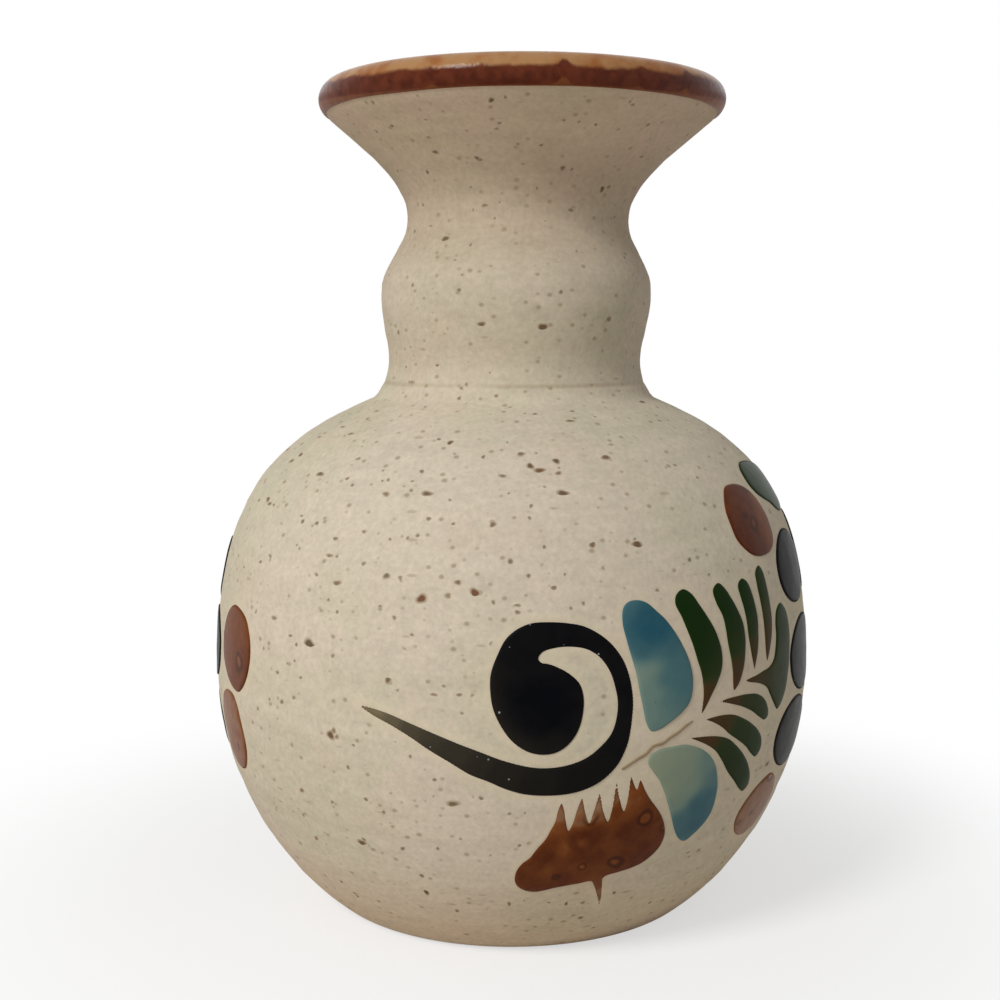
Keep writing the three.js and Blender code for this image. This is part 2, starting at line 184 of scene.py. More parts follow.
@dataclass
class Outside:
    """The finished outside from the foot to the rim, and the lip and the lean above it."""

    foot_radius: float = 29.8
    belly_radius: float = 47.8
    neck_root_radius: float = 22.7
    waist_radius: float = 20.3
    bulge_radius: float = 21.7
    throat_radius: float = 17.7
    rim_radius: float = 31.1
    rises: tuple[float, ...] = (38.2, 42.4, 5.5, 11.4, 11.3, 16.3)
    foot_slope: float = 37.0
    shoulder_slope: float = 22.8
    flare_slope: float = 39.2
    handles: tuple[float, ...] = (8.8, 19.7, 29.0, 15.4, 1.2, 1.6, 4.9, 12.8)
    lip_radius: float = 2.8
    neck_lean: float = 1.6
    wall: float = 4.6
    lip_wall: float = 5.04
    samples: int = 120

    def __post_init__(self) -> None:
        """Measures the curve once, as dense rows of points, normals and distances."""
        radii = (
            self.foot_radius,
            self.belly_radius,
            self.neck_root_radius,
            self.waist_radius,
            self.bulge_radius,
            self.throat_radius,
            self.rim_radius,
        )
        heights = np.concatenate([[0.0], np.cumsum(self.rises)])
        foot, belly, root, waist, bulge, throat, rim = np.stack([radii, heights], axis=1)
        self.belly_height, self.rim_height = belly[1], rim[1]
        out = self.handles
        t = np.linspace(0.0, 1.0, self.samples + 1)
        rows = [
            cubic(foot, slope(self.foot_slope, out[0]), slope(-90, out[1]), belly, t),
            cubic(belly, slope(90, out[2]), slope(-self.shoulder_slope, out[3]), root, t),
            cubic(root, slope(180 - self.shoulder_slope, out[4]), slope(-90, out[5]), waist, t),
            self.eased(waist, bulge, t),
            self.eased(bulge, throat, t),
            cubic(throat, slope(90, out[6]), slope(180 + self.flare_slope, out[7]), rim, t),
        ]
        self.points = np.vstack([rows[0]] + [row[1:] for row in rows[1:]])
        self.flare_share = np.zeros(len(self.points))
        self.flare_share[-len(t) :] = t
        along = np.gradient(self.points, axis=0)
        along /= np.linalg.norm(along, axis=1)[:, None]
        self.normals = np.stack([along[:, 1], -along[:, 0]], axis=1)
        steps = np.linalg.norm(np.diff(self.points, axis=0), axis=1)
        self.distances = np.concatenate([[0.0], np.cumsum(steps)])
        self.length = float(self.distances[-1])
        self.lip_centre = rim + slope(90 + self.flare_slope, self.lip_radius)

    @staticmethod
    def eased(start: np.ndarray, end: np.ndarray, t: np.ndarray) -> np.ndarray:
        """A soft S between two points that leaves and arrives upright, at shares of the way along."""
        blend = (1.0 - np.cos(math.pi * t)) / 2.0
        return np.stack([start[0] + (end[0] - start[0]) * blend, start[1] + (end[1] - start[1]) * t], axis=1)

    def at(self, distance: np.ndarray) -> tuple[np.ndarray, np.ndarray]:
        """Points and outward normals at distances along the outside from the foot.

        Args:
            distance: Distances in millimetres.

        Returns:
            Rows of radius and height, and rows of normals.
        """
        point, normal = (
            np.stack([np.interp(distance, self.distances, row) for row in rows.T], axis=-1)
            for rows in (self.points, self.normals)
        )
        return point, normal / np.linalg.norm(normal, axis=-1)[..., None]

    def inside(self, distance: np.ndarray, coat: float) -> np.ndarray:
        """Points of the inside, opposite distances along the outside.

        Args:
            distance: Distances along the outside in millimetres.
            coat: How far the surface stands off the clay.

        Returns:
            Rows of radius and height.
        """
        point, normal = self.at(distance)
        share = np.interp(distance, self.distances, self.flare_share)
        inset = self.wall + (self.lip_wall - self.wall) * smoothed(share, 0.0, 1.0) + coat
        return point - normal * inset[..., None]

    def leant(self, points: np.ndarray) -> np.ndarray:
        """Moves points sideways with height, as the neck of the pot leans.

        Args:
            points: Rows of x, y and z in millimetres.

        Returns:
            The moved rows.
        """
        above = np.clip(points[:, 2] - self.belly_height, 0.0, None) / (self.rim_height - self.belly_height)
        moved = points.copy()
        moved[:, 0] += self.neck_lean * above**2
        return moved

    def laid(self, around: np.ndarray, up: np.ndarray, lift: np.ndarray) -> np.ndarray:
        """Lays points of the unrolled outside on the vase.

        Args:
            around: Distances round the belly from the front, to the right.
            up: Distances up the outside from the foot.
            lift: Heights above the outside.

        Returns:
            Rows of x, y and z in millimetres.
        """
        point, normal = self.at(up)
        point = point + normal * lift[:, None]
        places = outward(around / self.belly_radius) * point[:, :1]
        places[:, 2] = point[:, 1]
        return self.leant(places)

    def narrowing(self, up: np.ndarray) -> np.ndarray:
        """How much narrower than the belly the outside is at distances up it."""
        return self.at(up)[0][..., 0] / self.belly_radius


OUTSIDE = Outside()
SHIFTS = {"front": 0.0, "back": math.pi * OUTSIDE.belly_radius}


def turned(name: str, profile: np.ndarray, steps: int) -> tuple[bpy.types.Object, np.ndarray]:
    """Draws a profile point by point and spins it round the axis, as a pot is turned.

    Args:
        name: Name of the piece.
        profile: Rows of radius and height in millimetres, from axis to axis or closed.
        steps: Steps of the full turn.

    Returns:
        The piece, and for each vertex the number of its row in the profile.
    """
    deselect_all()
    start = profile[0] * MM
    bpy.ops.mesh.primitive_plane_add(size=MM, location=(start[0], 0.0, start[1]))
    piece = bpy.context.active_object
    piece.name = name
    piece.data.name = name
    bpy.ops.object.mode_set(mode="EDIT")
    bpy.ops.mesh.select_all(action="SELECT")
    bpy.ops.mesh.merge(type="CENTER")
    for step in np.diff(profile, axis=0) * MM:
        bpy.ops.mesh.extrude_region_move(TRANSFORM_OT_translate={"value": (step[0], 0.0, step[1])})
    bpy.ops.mesh.select_all(action="SELECT")
    bpy.ops.mesh.spin(steps=steps, angle=2.0 * math.pi, center=(0.0, 0.0, 0.0), axis=(0.0, 0.0, 1.0))
    bpy.ops.mesh.select_all(action="SELECT")
    bpy.ops.mesh.remove_doubles(threshold=0.002 * MM)
    bpy.ops.mesh.normals_make_consistent(inside=False)
    bpy.ops.object.mode_set(mode="OBJECT")
    bpy.ops.object.transform_apply(location=True, rotation=True, scale=True)
    points = points_of(piece)
    radius = np.hypot(points[:, 0], points[:, 1])
    rows = np.array(
        [
            int(np.argmin((profile[:, 0] - r) ** 2 + (profile[:, 1] - z) ** 2))
            for r, z in zip(radius, points[:, 2], strict=True)
        ]
    )
    return piece, rows


def place(piece: bpy.types.Object, finish: bpy.types.Material, slot: str, *nodes: str) -> None:
    """Gives a finished piece its material and its body, and hides the solids that it stands for.

    Args:
        piece: The finished piece.
        finish: Its material.
        slot: Name of the record's material slot; not used.
        *nodes: Names of the solids that it replaces.
    """
    piece.data.materials.clear()
    piece.data.materials.append(finish)
    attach(piece, BODY)
    if nodes:
        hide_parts(*nodes)
    log.info("%s: %d faces", piece.name, len(piece.data.polygons))


# Shader maths


def tint(red: int, green: int, blue: int) -> tuple[float, float, float, float]:
    """A screen colour as the linear colour that a shader takes.

    Args:
        red: Red from 0 to 255.
        green: Green.
        blue: Blue.

    Returns:
        Linear red, green and blue from 0 to 1, and 1 for opaque.
    """
    shares = [value / 255.0 for value in (red, green, blue)]
    linear = [share / 12.92 if share <= 0.04045 else ((share + 0.055) / 1.055) ** 2.4 for share in shares]
    return (*linear, 1.0)


class Signal:
    """A socket of a shader, on which Python's own operators add Math nodes."""

    def __init__(self, board: "Board", socket: bpy.types.NodeSocket) -> None:
        """Keeps the socket and the board that it belongs to."""
        self.board = board
        self.socket = socket

    def maths(self, operation: str, first: Any, second: Any) -> "Signal":
        """The result of one Math node for two numbers or signals."""
        return self.board.add("ShaderNodeMath", {"operation": operation}, {0: first, 1: second})

    def __add__(self, other: Any) -> "Signal":
        """Sum."""
        return self.maths("ADD", self, other)

    __radd__ = __add__

    def __sub__(self, other: Any) -> "Signal":
        """Difference."""
        return self.maths("SUBTRACT", self, other)

    def __rsub__(self, other: Any) -> "Signal":
        """Difference from a number."""
        return self.maths("SUBTRACT", other, self)

    def __mul__(self, other: Any) -> "Signal":
        """Product."""
        return self.maths("MULTIPLY", self, other)

    __rmul__ = __mul__

    def at_least(self, other: Any) -> "Signal":
        """The larger of this and another."""
        return self.maths("MAXIMUM", self, other)

    def other(self, output: str) -> "Signal":
        """Another output of the same node."""
        return Signal(self.board, self.socket.node.outputs[output])

    def step(self, off: float, on: float) -> "Signal":
        """A smooth step, which may also fall.

        Args:
            off: Where the result is 0.
            on: Where it is 1.

        Returns:
            A signal from 0 to 1.
        """
        ends = (0.0, 1.0) if off < on else (1.0, 0.0)
        low, high = min(off, on), max(off, on)
        values = {"Value": self, "From Min": low, "From Max": high, "To Min": ends[0], "To Max": ends[1]}
        return self.board.add("ShaderNodeMapRange", {"interpolation_type": "SMOOTHSTEP"}, values)


class Board:
    """The nodes of one finish, or of the surround."""

    def __init__(self, name: str, library: str = "materials") -> None:
        """Starts without nodes.

        Args:
            name: Name of the finish.
            library: Where it is kept: materials, or worlds for the surround.
        """
        self.holder = getattr(bpy.data, library).new(name)
        self.holder.use_nodes = True
        self.tree = self.holder.node_tree
        self.tree.nodes.clear()
        self.object_place = self.add("ShaderNodeTexCoord", output="Object")

    def add(
        self,
        kind: str,
        settings: dict[str, Any] | None = None,
        values: dict[Any, Any] | None = None,
        output: Any = 0,
    ) -> Signal:
        """Adds a node, sets it up and links it.

        Args:
            kind: Type of the node.
            settings: Its settings, set before its sockets.
            values: Numbers, colours or signals for its sockets, by name or number.
            output: Name or number of the output to return.

        Returns:
            The chosen output.
        """
        node = self.tree.nodes.new(kind)
        for key, value in (settings or {}).items():
            if key == "stops":
                self.set_stops(node.color_ramp, value)
            else:
                setattr(node, key, value)
        for key, value in (values or {}).items():
            if isinstance(value, Signal):
                self.tree.links.new(value.socket, node.inputs[key])
            else:
                node.inputs[key].default_value = value
        return Signal(self, node.outputs[output]) if len(node.outputs) else Signal(self, node.inputs[0])

    @staticmethod
    def set_stops(ramp: bpy.types.ColorRamp, stops: list[tuple[float, tuple[float, ...]]]) -> None:
        """Sets the stops of a colour ramp.

        Args:
            ramp: The ramp.
            stops: Places from 0 to 1, each with its colour.
        """
        while len(ramp.elements) < len(stops):
            ramp.elements.new(1.0)
        for element, (where, colour) in zip(ramp.elements, stops, strict=True):
            element.position = where
            element.color = colour

    def noted(self, name: str) -> Signal:
        """A number that the mesh carries for each vertex."""
        return self.add("ShaderNodeAttribute", {"attribute_name": name}, output="Fac")

    def looked_at(self) -> Signal:
        """1 where the camera looks, straight or by a mirror or glass, and 0 for light that bounces."""
        rays = self.add("ShaderNodeLightPath", output="Is Camera Ray")
        return rays.at_least(rays.other("Is Glossy Ray")).at_least(rays.other("Is Transmission Ray"))

    def vector(self, operation: str, values: dict[Any, Any], output: str = "Vector") -> Signal:
        """The result of one Vector Math node."""
        return self.add("ShaderNodeVectorMath", {"operation": operation}, values, output)

    def warped(self, waves: float, detail: float, reach: float, middle: float = 0.0) -> Signal:
        """The object's own coordinates with a wobble, so that round marks come out uneven.

        Args:
            waves: Waves in a millimetre.
            detail: How many finer layers they have.
            reach: How far they move a place, in millimetres.
            middle: Value of the noise that moves nothing.

        Returns:
            The coordinates.
        """
        values = {"Vector": self.object_place, "Scale": waves / MM, "Detail": detail}
        wobble = self.add("ShaderNodeTexNoise", None, values, "Color")
        centred = self.vector("SUBTRACT", {0: wobble, 1: (middle, middle, middle)})
        moved = self.vector("SCALE", {0: centred, "Scale": reach * MM})
        return self.vector("ADD", {0: self.object_place, 1: moved})

    def stretched(self, across: float, upright: float, shift: float = 0.0) -> Signal:
        """The object's own coordinates, stretched level or upright and moved."""
        values = {"Scale": (across, across, upright), "Location": (shift, shift, shift)}
        return self.add("ShaderNodeMapping", None, {"Vector": self.object_place, **values})

    def cloud(
        self, size: float, detail: float = 2.0, where: Signal | None = None, rough: float = 0.5
    ) -> Signal:
        """Smooth noise from 0 to 1, with lumps of a size in millimetres and finer layers."""
        values = {"Scale": 1.0 / (size * MM), "Detail": detail, "Roughness": rough}
        return self.add("ShaderNodeTexNoise", None, {"Vector": where or self.object_place, **values})

    def mixed(
        self, share: Any, first: Signal | Colour, second: Signal | Colour, blend: str = "MIX"
    ) -> Signal:
        """Two colours mixed.

        Args:
            share: Share of the second.
            first: A signal, or a screen colour of 0 to 255.
            second: The same.
            blend: How they are mixed.

        Returns:
            The mixed colour.
        """
        settings = {"data_type": "RGBA", "blend_type": blend, "clamp_factor": True}
        one, other = (tint(*value) if isinstance(value, tuple) else value for value in (first, second))
        return self.add("ShaderNodeMix", settings, {0: share, 6: one, 7: other}, 2)

    def graded(self, share: Signal, colours: tuple[Colour, ...]) -> Signal:
        """The colour at a share of the way along a ramp of evenly spaced screen colours."""
        stops = [(number / (len(colours) - 1), tint(*colour)) for number, colour in enumerate(colours)]
        return self.add("ShaderNodeValToRGB", {"stops": stops}, {"Fac": share}, "Color")

    def spots(
        self, cell: float, radius: float, soft: float, share: float, where: Signal | None = None
    ) -> Signal:
        """Scattered round spots, each with a size of its own.

        Args:
            cell: Mean distance between possible spots in millimetres.
            radius: Largest radius in millimetres.
            soft: Width of a spot's soft edge in millimetres.
            share: Share of the places that have a spot.
            where: Coordinates to read, or the object's own.

        Returns:
            1 in a spot and 0 outside.
        """
        values = {"Vector": where or self.object_place, "Scale": 1.0 / (cell * MM), "Randomness": 1.0}
        distance = self.add("ShaderNodeTexVoronoi", {"voronoi_dimensions": "3D"}, values, "Distance")
        chance = self.add("ShaderNodeSeparateColor", None, {"Color": distance.other("Color")}, "Red")
        reach = chance.step(1.0 - share, 1.0) * radius
        chosen = chance.step(1.0 - share, 1.001 - share)
        return (reach - distance * cell).step(-soft / 2.0, soft / 2.0) * chosen

    def raised(
        self, height: Signal, depth: float, strength: float = 1.0, under: Signal | None = None
    ) -> Signal:
        """A bumped normal.

        Args:
            height: Relief from 0 to 1.
            depth: Depth of the relief in millimetres.
            strength: Strength of the bump.
            under: Another bumped normal to start from.

        Returns:
            The normal.
        """
        values = {"Strength": strength, "Distance": depth * MM, "Height": height}
        if under is not None:
            values["Normal"] = under
        return self.add("ShaderNodeBump", None, values, "Normal")

    def finish(
        self, colour: Signal, roughness: Signal, specular: float, normal: Signal
    ) -> bpy.types.Material:
        """Ends the board with a Principled shader.

        Args:
            colour: Base colour.
            roughness: Roughness.
            specular: Strength of the reflection.
            normal: Bumped normal.

        Returns:
            The material.
        """
        values = {"Base Color": colour, "Roughness": roughness, "Specular IOR Level": specular}
        shader = self.add("ShaderNodeBsdfPrincipled", None, {**values, "Normal": normal})
        self.add("ShaderNodeOutputMaterial", None, {"Surface": shader})
        return self.holder


# Finishes


@dataclass(frozen=True)
class Stoneware:
    """Bare fired clay: sandy cream, with grain, wheel marks and iron specks burnt through, and painted shade
    under the flare, on the neck and towards the foot.

    Attributes:
        cream: Main colour.
        green_cream: Colour of its greenish clouds.
        rosy_cream: Colour of its rosy clouds.
        iron: Colour of a burnt speck.
        stain: Colour of a faint speck, and of the darker line in the crease.
        bloom: Pale colour round the painting.
        flare_painted_shade: Painted shade under the flare, multiplied into the clay's colour.
        shade: Painted shade on the neck below the flare.
        foot_painted_shade: Painted shade towards the foot.
        flare_shade_band: Distances up the outside over which the painted shade under the flare sets in.
        neck_bands: Distances over which the halves of the painted shade on the neck set in.
        neck_end: Distances over which it fades again, written backwards.
        foot_band: Distances over which the painted shade at the foot sets in downwards.
        bare_band: Distances from the painting over which specks set in.
        crease_width: Half width of the darker line in the crease.
        speck_cell: Mean distance between burnt specks.
        speck_radius: Radius of the largest burnt speck.
        specular: Strength of the reflection.
    """

    cream: Colour = (211, 199, 179)
    green_cream: Colour = (200, 194, 168)
    rosy_cream: Colour = (211, 193, 172)
    iron: Colour = (104, 88, 66)
    stain: Colour = (150, 132, 104)
    bloom: Colour = (214, 201, 172)
    flare_painted_shade: Colour = (241, 231, 224)
    shade: Colour = (232, 229, 225)
    foot_painted_shade: Colour = (254, 247, 238)
    flare_shade_band: Band = (112.0, 146.0)
    neck_bands: tuple[Band, Band] = ((95.0, 106.0), (114.0, 124.0))
    neck_end: Band = (142.0, 131.0)
    foot_band: Band = (26.0, 4.0)
    bare_band: Band = (0.9, 1.8)
    crease_width: float = 0.6
    speck_cell: float = 2.5
    speck_radius: float = 0.36
    specular: float = 0.2

    def material(self) -> bpy.types.Material:
        """Builds the finish.

        Returns:
            The material.
        """
        board = Board("stoneware")
        paint = board.noted("paint")
        up = board.noted("up")
        grain = board.cloud(0.8, 3.0, None, 0.65)
        wheel = board.cloud(1.5, 3.0, board.stretched(0.07, 1.0), 0.6)
        uneven = board.warped(1.4, 2.0, 0.6, 0.5)
        specks = board.spots(self.speck_cell, self.speck_radius, 0.3, 0.5, uneven)
        bloomed_edge = paint.step(1.3, 0.3) * paint.step(-0.2, 0.3)
        relief = board.raised(grain, 0.05, 0.5)
        relief = board.raised(wheel, 0.04, 0.5, relief)
        relief = board.raised(bloomed_edge, 0.04, 0.4, relief)
        colour = self.add_painted_shade(board, self.mottled(board, grain, wheel), up)
        colour = self.marked(board, colour, up, paint, specks)
        return board.finish(colour, 0.93 - specks * 0.15, self.specular, relief)

    def mottled(self, board: Board, grain: Signal, wheel: Signal) -> Signal:
        """The clay's colour before its casts and marks.

        Args:
            board: The finish.
            grain: The fine grain.
            wheel: The lines that the wheel left.

        Returns:
            The colour.
        """
        tinge = board.cloud(26.0)
        blush = board.cloud(17.0, 3.0, board.stretched(1.0, 1.4, 0.31))
        patch = board.cloud(1.8, 3.0, None, 0.65)
        sand = board.cloud(1.9, 2.0, board.stretched(0.6, 1.0, 0.11))
        greening = tinge.step(0.42, 0.62) * 0.6 + (patch - 0.5) * 1.3
        colour = board.mixed(greening, self.cream, self.green_cream)
        colour = board.mixed(blush.step(0.5, 0.72) * 0.5, colour, self.rosy_cream)
        value = 0.94 + (grain - 0.5) * 0.4 + (wheel - 0.5) * 0.12 + (sand - 0.5) * 0.18
        grey = board.add("ShaderNodeCombineColor", None, {"Red": value, "Green": value, "Blue": value})
        return board.mixed(1.0, colour, grey, "MULTIPLY")

    def add_painted_shade(self, board: Board, colour: Signal, up: Signal) -> Signal:
        """Adds painted shade under the flare, on the neck and towards the foot.

        Args:
            board: The finish.
            colour: The colour so far.
            up: Distance up the outside.

        Returns:
            The colour.
        """
        low, high = (up.step(*band) * 0.5 for band in self.neck_bands)
        # Painted shade, multiplied into the clay: darker under the flare, on the neck below it and towards
        # the foot.
        painted_shades = (
            (up.step(*self.flare_shade_band), self.flare_painted_shade),
            ((low + high) * up.step(*self.neck_end), self.shade),
            (up.step(*self.foot_band), self.foot_painted_shade),
        )
        for share, shade in painted_shades:
            colour = board.mixed(share, colour, shade, "MULTIPLY")
        return colour

    def marked(self, board: Board, colour: Signal, up: Signal, paint: Signal, specks: Signal) -> Signal:
        """Adds specks, the bloom round the painting and a darker line in the crease.

        Args:
            board: The finish.
            colour: The colour so far.
            up: Distance up the outside.
            paint: Distance from the painting.
            specks: The burnt specks.

        Returns:
            The colour.
        """
        bare = paint.step(*self.bare_band)
        faint = board.spots(1.35, 0.32, 0.34, 0.75, board.stretched(0.8, 1.0, 0.7))
        dashes = board.spots(1.5, 0.24, 0.22, 0.45, board.stretched(0.3, 1.0, 0.43))
        near = paint.step(1.6, 0.4) * paint.step(-0.6, 0.1)
        low, high = CREASE_UP - self.crease_width, CREASE_UP + self.crease_width
        crease = up.step(low, CREASE_UP) * up.step(high, CREASE_UP)
        marks = (
            (faint * bare * 0.7, self.stain),
            (dashes * bare * 0.45, self.stain),
            (specks * bare * 0.8, self.iron),
            (near * 0.4, self.bloom),
            # Darker line along the neck crease, in patches.
            (crease * board.cloud(24.0).step(0.42, 0.6) * 0.4, self.stain),
        )
        for share, mark in marks:
            colour = board.mixed(share, colour, mark)
        return colour


@dataclass(frozen=True)
class LipBrown:
    """Iron glaze on the lip: chestnut where it is thick and amber where it thins over the edge.

    Attributes:
        chestnut: Colour of the thick glaze.
        deep: Colour of its curdled spots.
        amber: Colour of the thin glaze.
        honey: Colour of its clouds, and of the thin edge outside.
        break_at: Distance over the lip at which it turns thin.
        inside_band: Distances over which it turns thick again, down in the mouth.
        specular: Strength of the reflection.
    """

    chestnut: Colour = (98, 44, 22)
    deep: Colour = (74, 26, 8)
    amber: Colour = (166, 124, 82)
    honey: Colour = (148, 92, 46)
    break_at: float = 3.0
    inside_band: Band = (9.0, 15.0)
    specular: float = 0.11

    def material(self) -> bpy.types.Material:
        """Builds the finish.

        Returns:
            The material.
        """
        board = Board("lip_brown")
        over = board.noted("over")
        coat = board.cloud(5.0, 3.0)
        curdle = board.cloud(1.6, 3.0)
        run = board.cloud(7.0, 2.0, board.stretched(1.0, 0.25, 0.2))
        edge = over + (run - 0.5) * 1.2 + (curdle - 0.5) * 0.9
        thick = board.mixed(curdle.step(0.3, 0.75), self.chestnut, self.deep)
        thin = board.mixed(coat.step(0.42, 0.66), self.amber, self.honey)
        colour = board.mixed(edge.step(self.break_at - 0.4, self.break_at + 0.4), thick, thin)
        flecks = board.spots(1.9, 0.36, 0.3, 0.6, board.stretched(0.6, 1.0, 0.4))
        colour = board.mixed(flecks * over.step(2.2, 3.0) * 0.6, colour, self.chestnut)
        colour = board.mixed(over.step(*self.inside_band) * 0.7, colour, self.chestnut)
        colour = board.mixed(over.step(0.5, 0.0) * 0.35, colour, self.honey)
        roughness = 0.15 + curdle * 0.12 + over.step(2.0, 0.6) * 0.25
        ripple = board.raised(board.cloud(1.2), 0.11, 0.7)
        return board.finish(colour, roughness, self.specular, ripple)


@dataclass(frozen=True)
class LinerBrown:
    """Thin glaze that seals the inside."""

    tan: Colour = (134, 82, 44)
    umber: Colour = (100, 50, 26)
    specular: float = 0.11

    def material(self) -> bpy.types.Material:
        """Builds the finish.

        Returns:
            The material.
        """
        board = Board("liner_brown")
        coat = board.cloud(8.0, 3.0)
        runs = board.cloud(4.0, 2.0, board.stretched(1.0, 0.2, 0.1))
        colour = board.mixed((coat * 0.5 + runs * 0.5).step(0.36, 0.64), self.tan, self.umber)
        ripple = board.raised(board.cloud(1.2), 0.11, 0.7)
        return board.finish(colour, 0.22 + coat * 0.1, self.specular, ripple)


@dataclass(frozen=True)
class Glaze:
    """A painting glaze, which shows another colour where it lies thin or pools.

    Attributes:
        name: Name of the finish.
        slot: Name of the record's material slot.
        stops: Colours from tone 0 to tone 1, evenly spaced.
        edge: Colour where the dab thins out at its edge.
        edge_share: Strength of the edge colour.
        mottle: How far the tone wanders.
        lump: Size of the mottling in millimetres.
        specular: Strength of the reflection.
        bubbles: Strength of the dark rings round burst bubbles.
        bubble_cell: Mean distance between them in millimetres.
        painted_glints: Strength of the painted glints: tiny pale dots of colour that stand in for light
            caught by small bubbles.
        painted_glint: Colour of the painted glints.
        rise: Height of the glaze where it lies deep.
        roll: Width over which it swells up from its edge.
        blend: How softly its tones run into each other, in square millimetres.
    """

    name: str
    slot: str
    stops: tuple[Colour, ...]
    edge: Colour
    edge_share: float = 0.6
    mottle: float = 0.2
    lump: float = 3.0
    specular: float = 0.08
    bubbles: float = 0.0
    bubble_cell: float = 4.0
    painted_glints: float = 0.0
    painted_glint: Colour = (150, 158, 160)
    rise: float = 0.26
    roll: float = 0.9
    blend: float = 0.9

    def material(self) -> bpy.types.Material:
        """Builds the finish.

        Returns:
            The material.
        """
        board = Board(self.name)
        fullness = board.noted("fullness")
        tone = board.noted("tone")
        patch = board.cloud(self.lump, 3.0, None, 0.6)
        fine = board.cloud(0.7)
        uneven = board.warped(0.4, 1.0, 1.4)
        burst = board.spots(self.bubble_cell, 0.95, 0.4, 0.8, uneven)
        ring = board.spots(self.bubble_cell, 1.6, 0.5, 0.8, uneven) - burst
        fuller = fullness.step(0.6, 1.4) * self.bubbles
        pooled = tone + (patch - 0.5) * 2.0 * self.mottle + burst * fuller * 0.3
        colour = board.graded(pooled, self.stops)
        rim = (fullness + (fine - 0.5) * 0.2).step(0.5, 0.05)
        # Painted glints: pale dots in the colour, near the thin edges, that stand in for highlights.
        painted_glint = board.spots(1.5, 0.17, 0.06, 0.7) * fullness.step(3.2, 2.2)
        layers = (
            (ring * fuller * 0.7, self.edge),
            (rim * self.edge_share, self.edge),
            (painted_glint * self.painted_glints, self.painted_glint),
        )
        for share, layer in layers:
            colour = board.mixed(share, colour, layer)
        ripple = board.raised(board.cloud(1.8, 1.0), 0.05, 0.3)
        pinholes = board.spots(2.2, 0.16, 0.08, 0.5)
        relief = board.raised(pinholes, 0.08, 0.9, ripple)
        return board.finish(colour, 0.3 + fine * 0.1 + rim * 0.2, self.specular, relief)


@dataclass(frozen=True)
class IronSpot:
    """Iron that has melted out of the clay: dark in the middle and lost in the clay at its rim."""

    dark: Colour = (102, 86, 64)
    rust: Colour = (116, 80, 60)
    clay: Colour = (180, 166, 142)
    specular: float = 0.2

    def material(self) -> bpy.types.Material:
        """Builds the finish.

        Returns:
            The material.
        """
        board = Board("iron_spot")
        ruddy = board.noted("tone")
        core = board.noted("core")
        grain = board.cloud(0.4)
        iron = board.mixed(ruddy + (grain - 0.5) * 0.4, self.dark, self.rust)
        colour = board.mixed((core + (grain - 0.5) * 0.3).step(0.05, 0.85), self.clay, iron)
        relief = board.raised(grain, 0.03, 0.4)
        return board.finish(colour, 0.75 + grain * 0.2, self.specular, relief)


class Paint(Enum):
    """The glazes of the painting."""

    BLUE_BLACK = Glaze(
        name="blue_black",
        slot="blue_black_glaze",
        stops=((7, 8, 12), (38, 35, 30), (76, 70, 56), (130, 117, 90)),
        edge=(44, 40, 36),
        edge_share=0.3,
        mottle=0.07,
        specular=0.022,
        # Painted glints on the scroll and the petals.
        painted_glints=0.8,
    )
    SEA_BLUE = Glaze(
        name="sea_blue",
        slot="sea_blue_glaze",
        stops=((136, 148, 126), (112, 136, 126), (74, 110, 114), (18, 76, 95)),
        edge=(112, 150, 146),
        edge_share=0.3,
        mottle=0.09,
        blend=2.2,
    )
    LEAF_GREEN = Glaze(
        name="leaf_green",
        slot="green_glaze",
        stops=((17, 40, 6), (44, 54, 24), (78, 52, 30)),
        edge=(40, 48, 22),
        edge_share=0.35,
        mottle=0.08,
        specular=0.04,
    )
    RUST = Glaze(
        name="rust",
        slot="rust_glaze",
        stops=((82, 36, 11), (116, 64, 26), (146, 111, 83)),
        edge=(56, 22, 8),
        edge_share=0.55,
        mottle=0.26,
        lump=1.6,
        specular=0.06,
        bubbles=1.0,
        blend=0.2,
    )
    STEM = Glaze(
        name="stem_brown",
        slot="stem_glaze",
        stops=((120, 102, 78), (146, 128, 100)),
        edge=(160, 142, 114),
        edge_share=0.5,
        mottle=0.3,
        lump=1.2,
        rise=0.3,
        roll=0.25,
    )


# Clay and coats


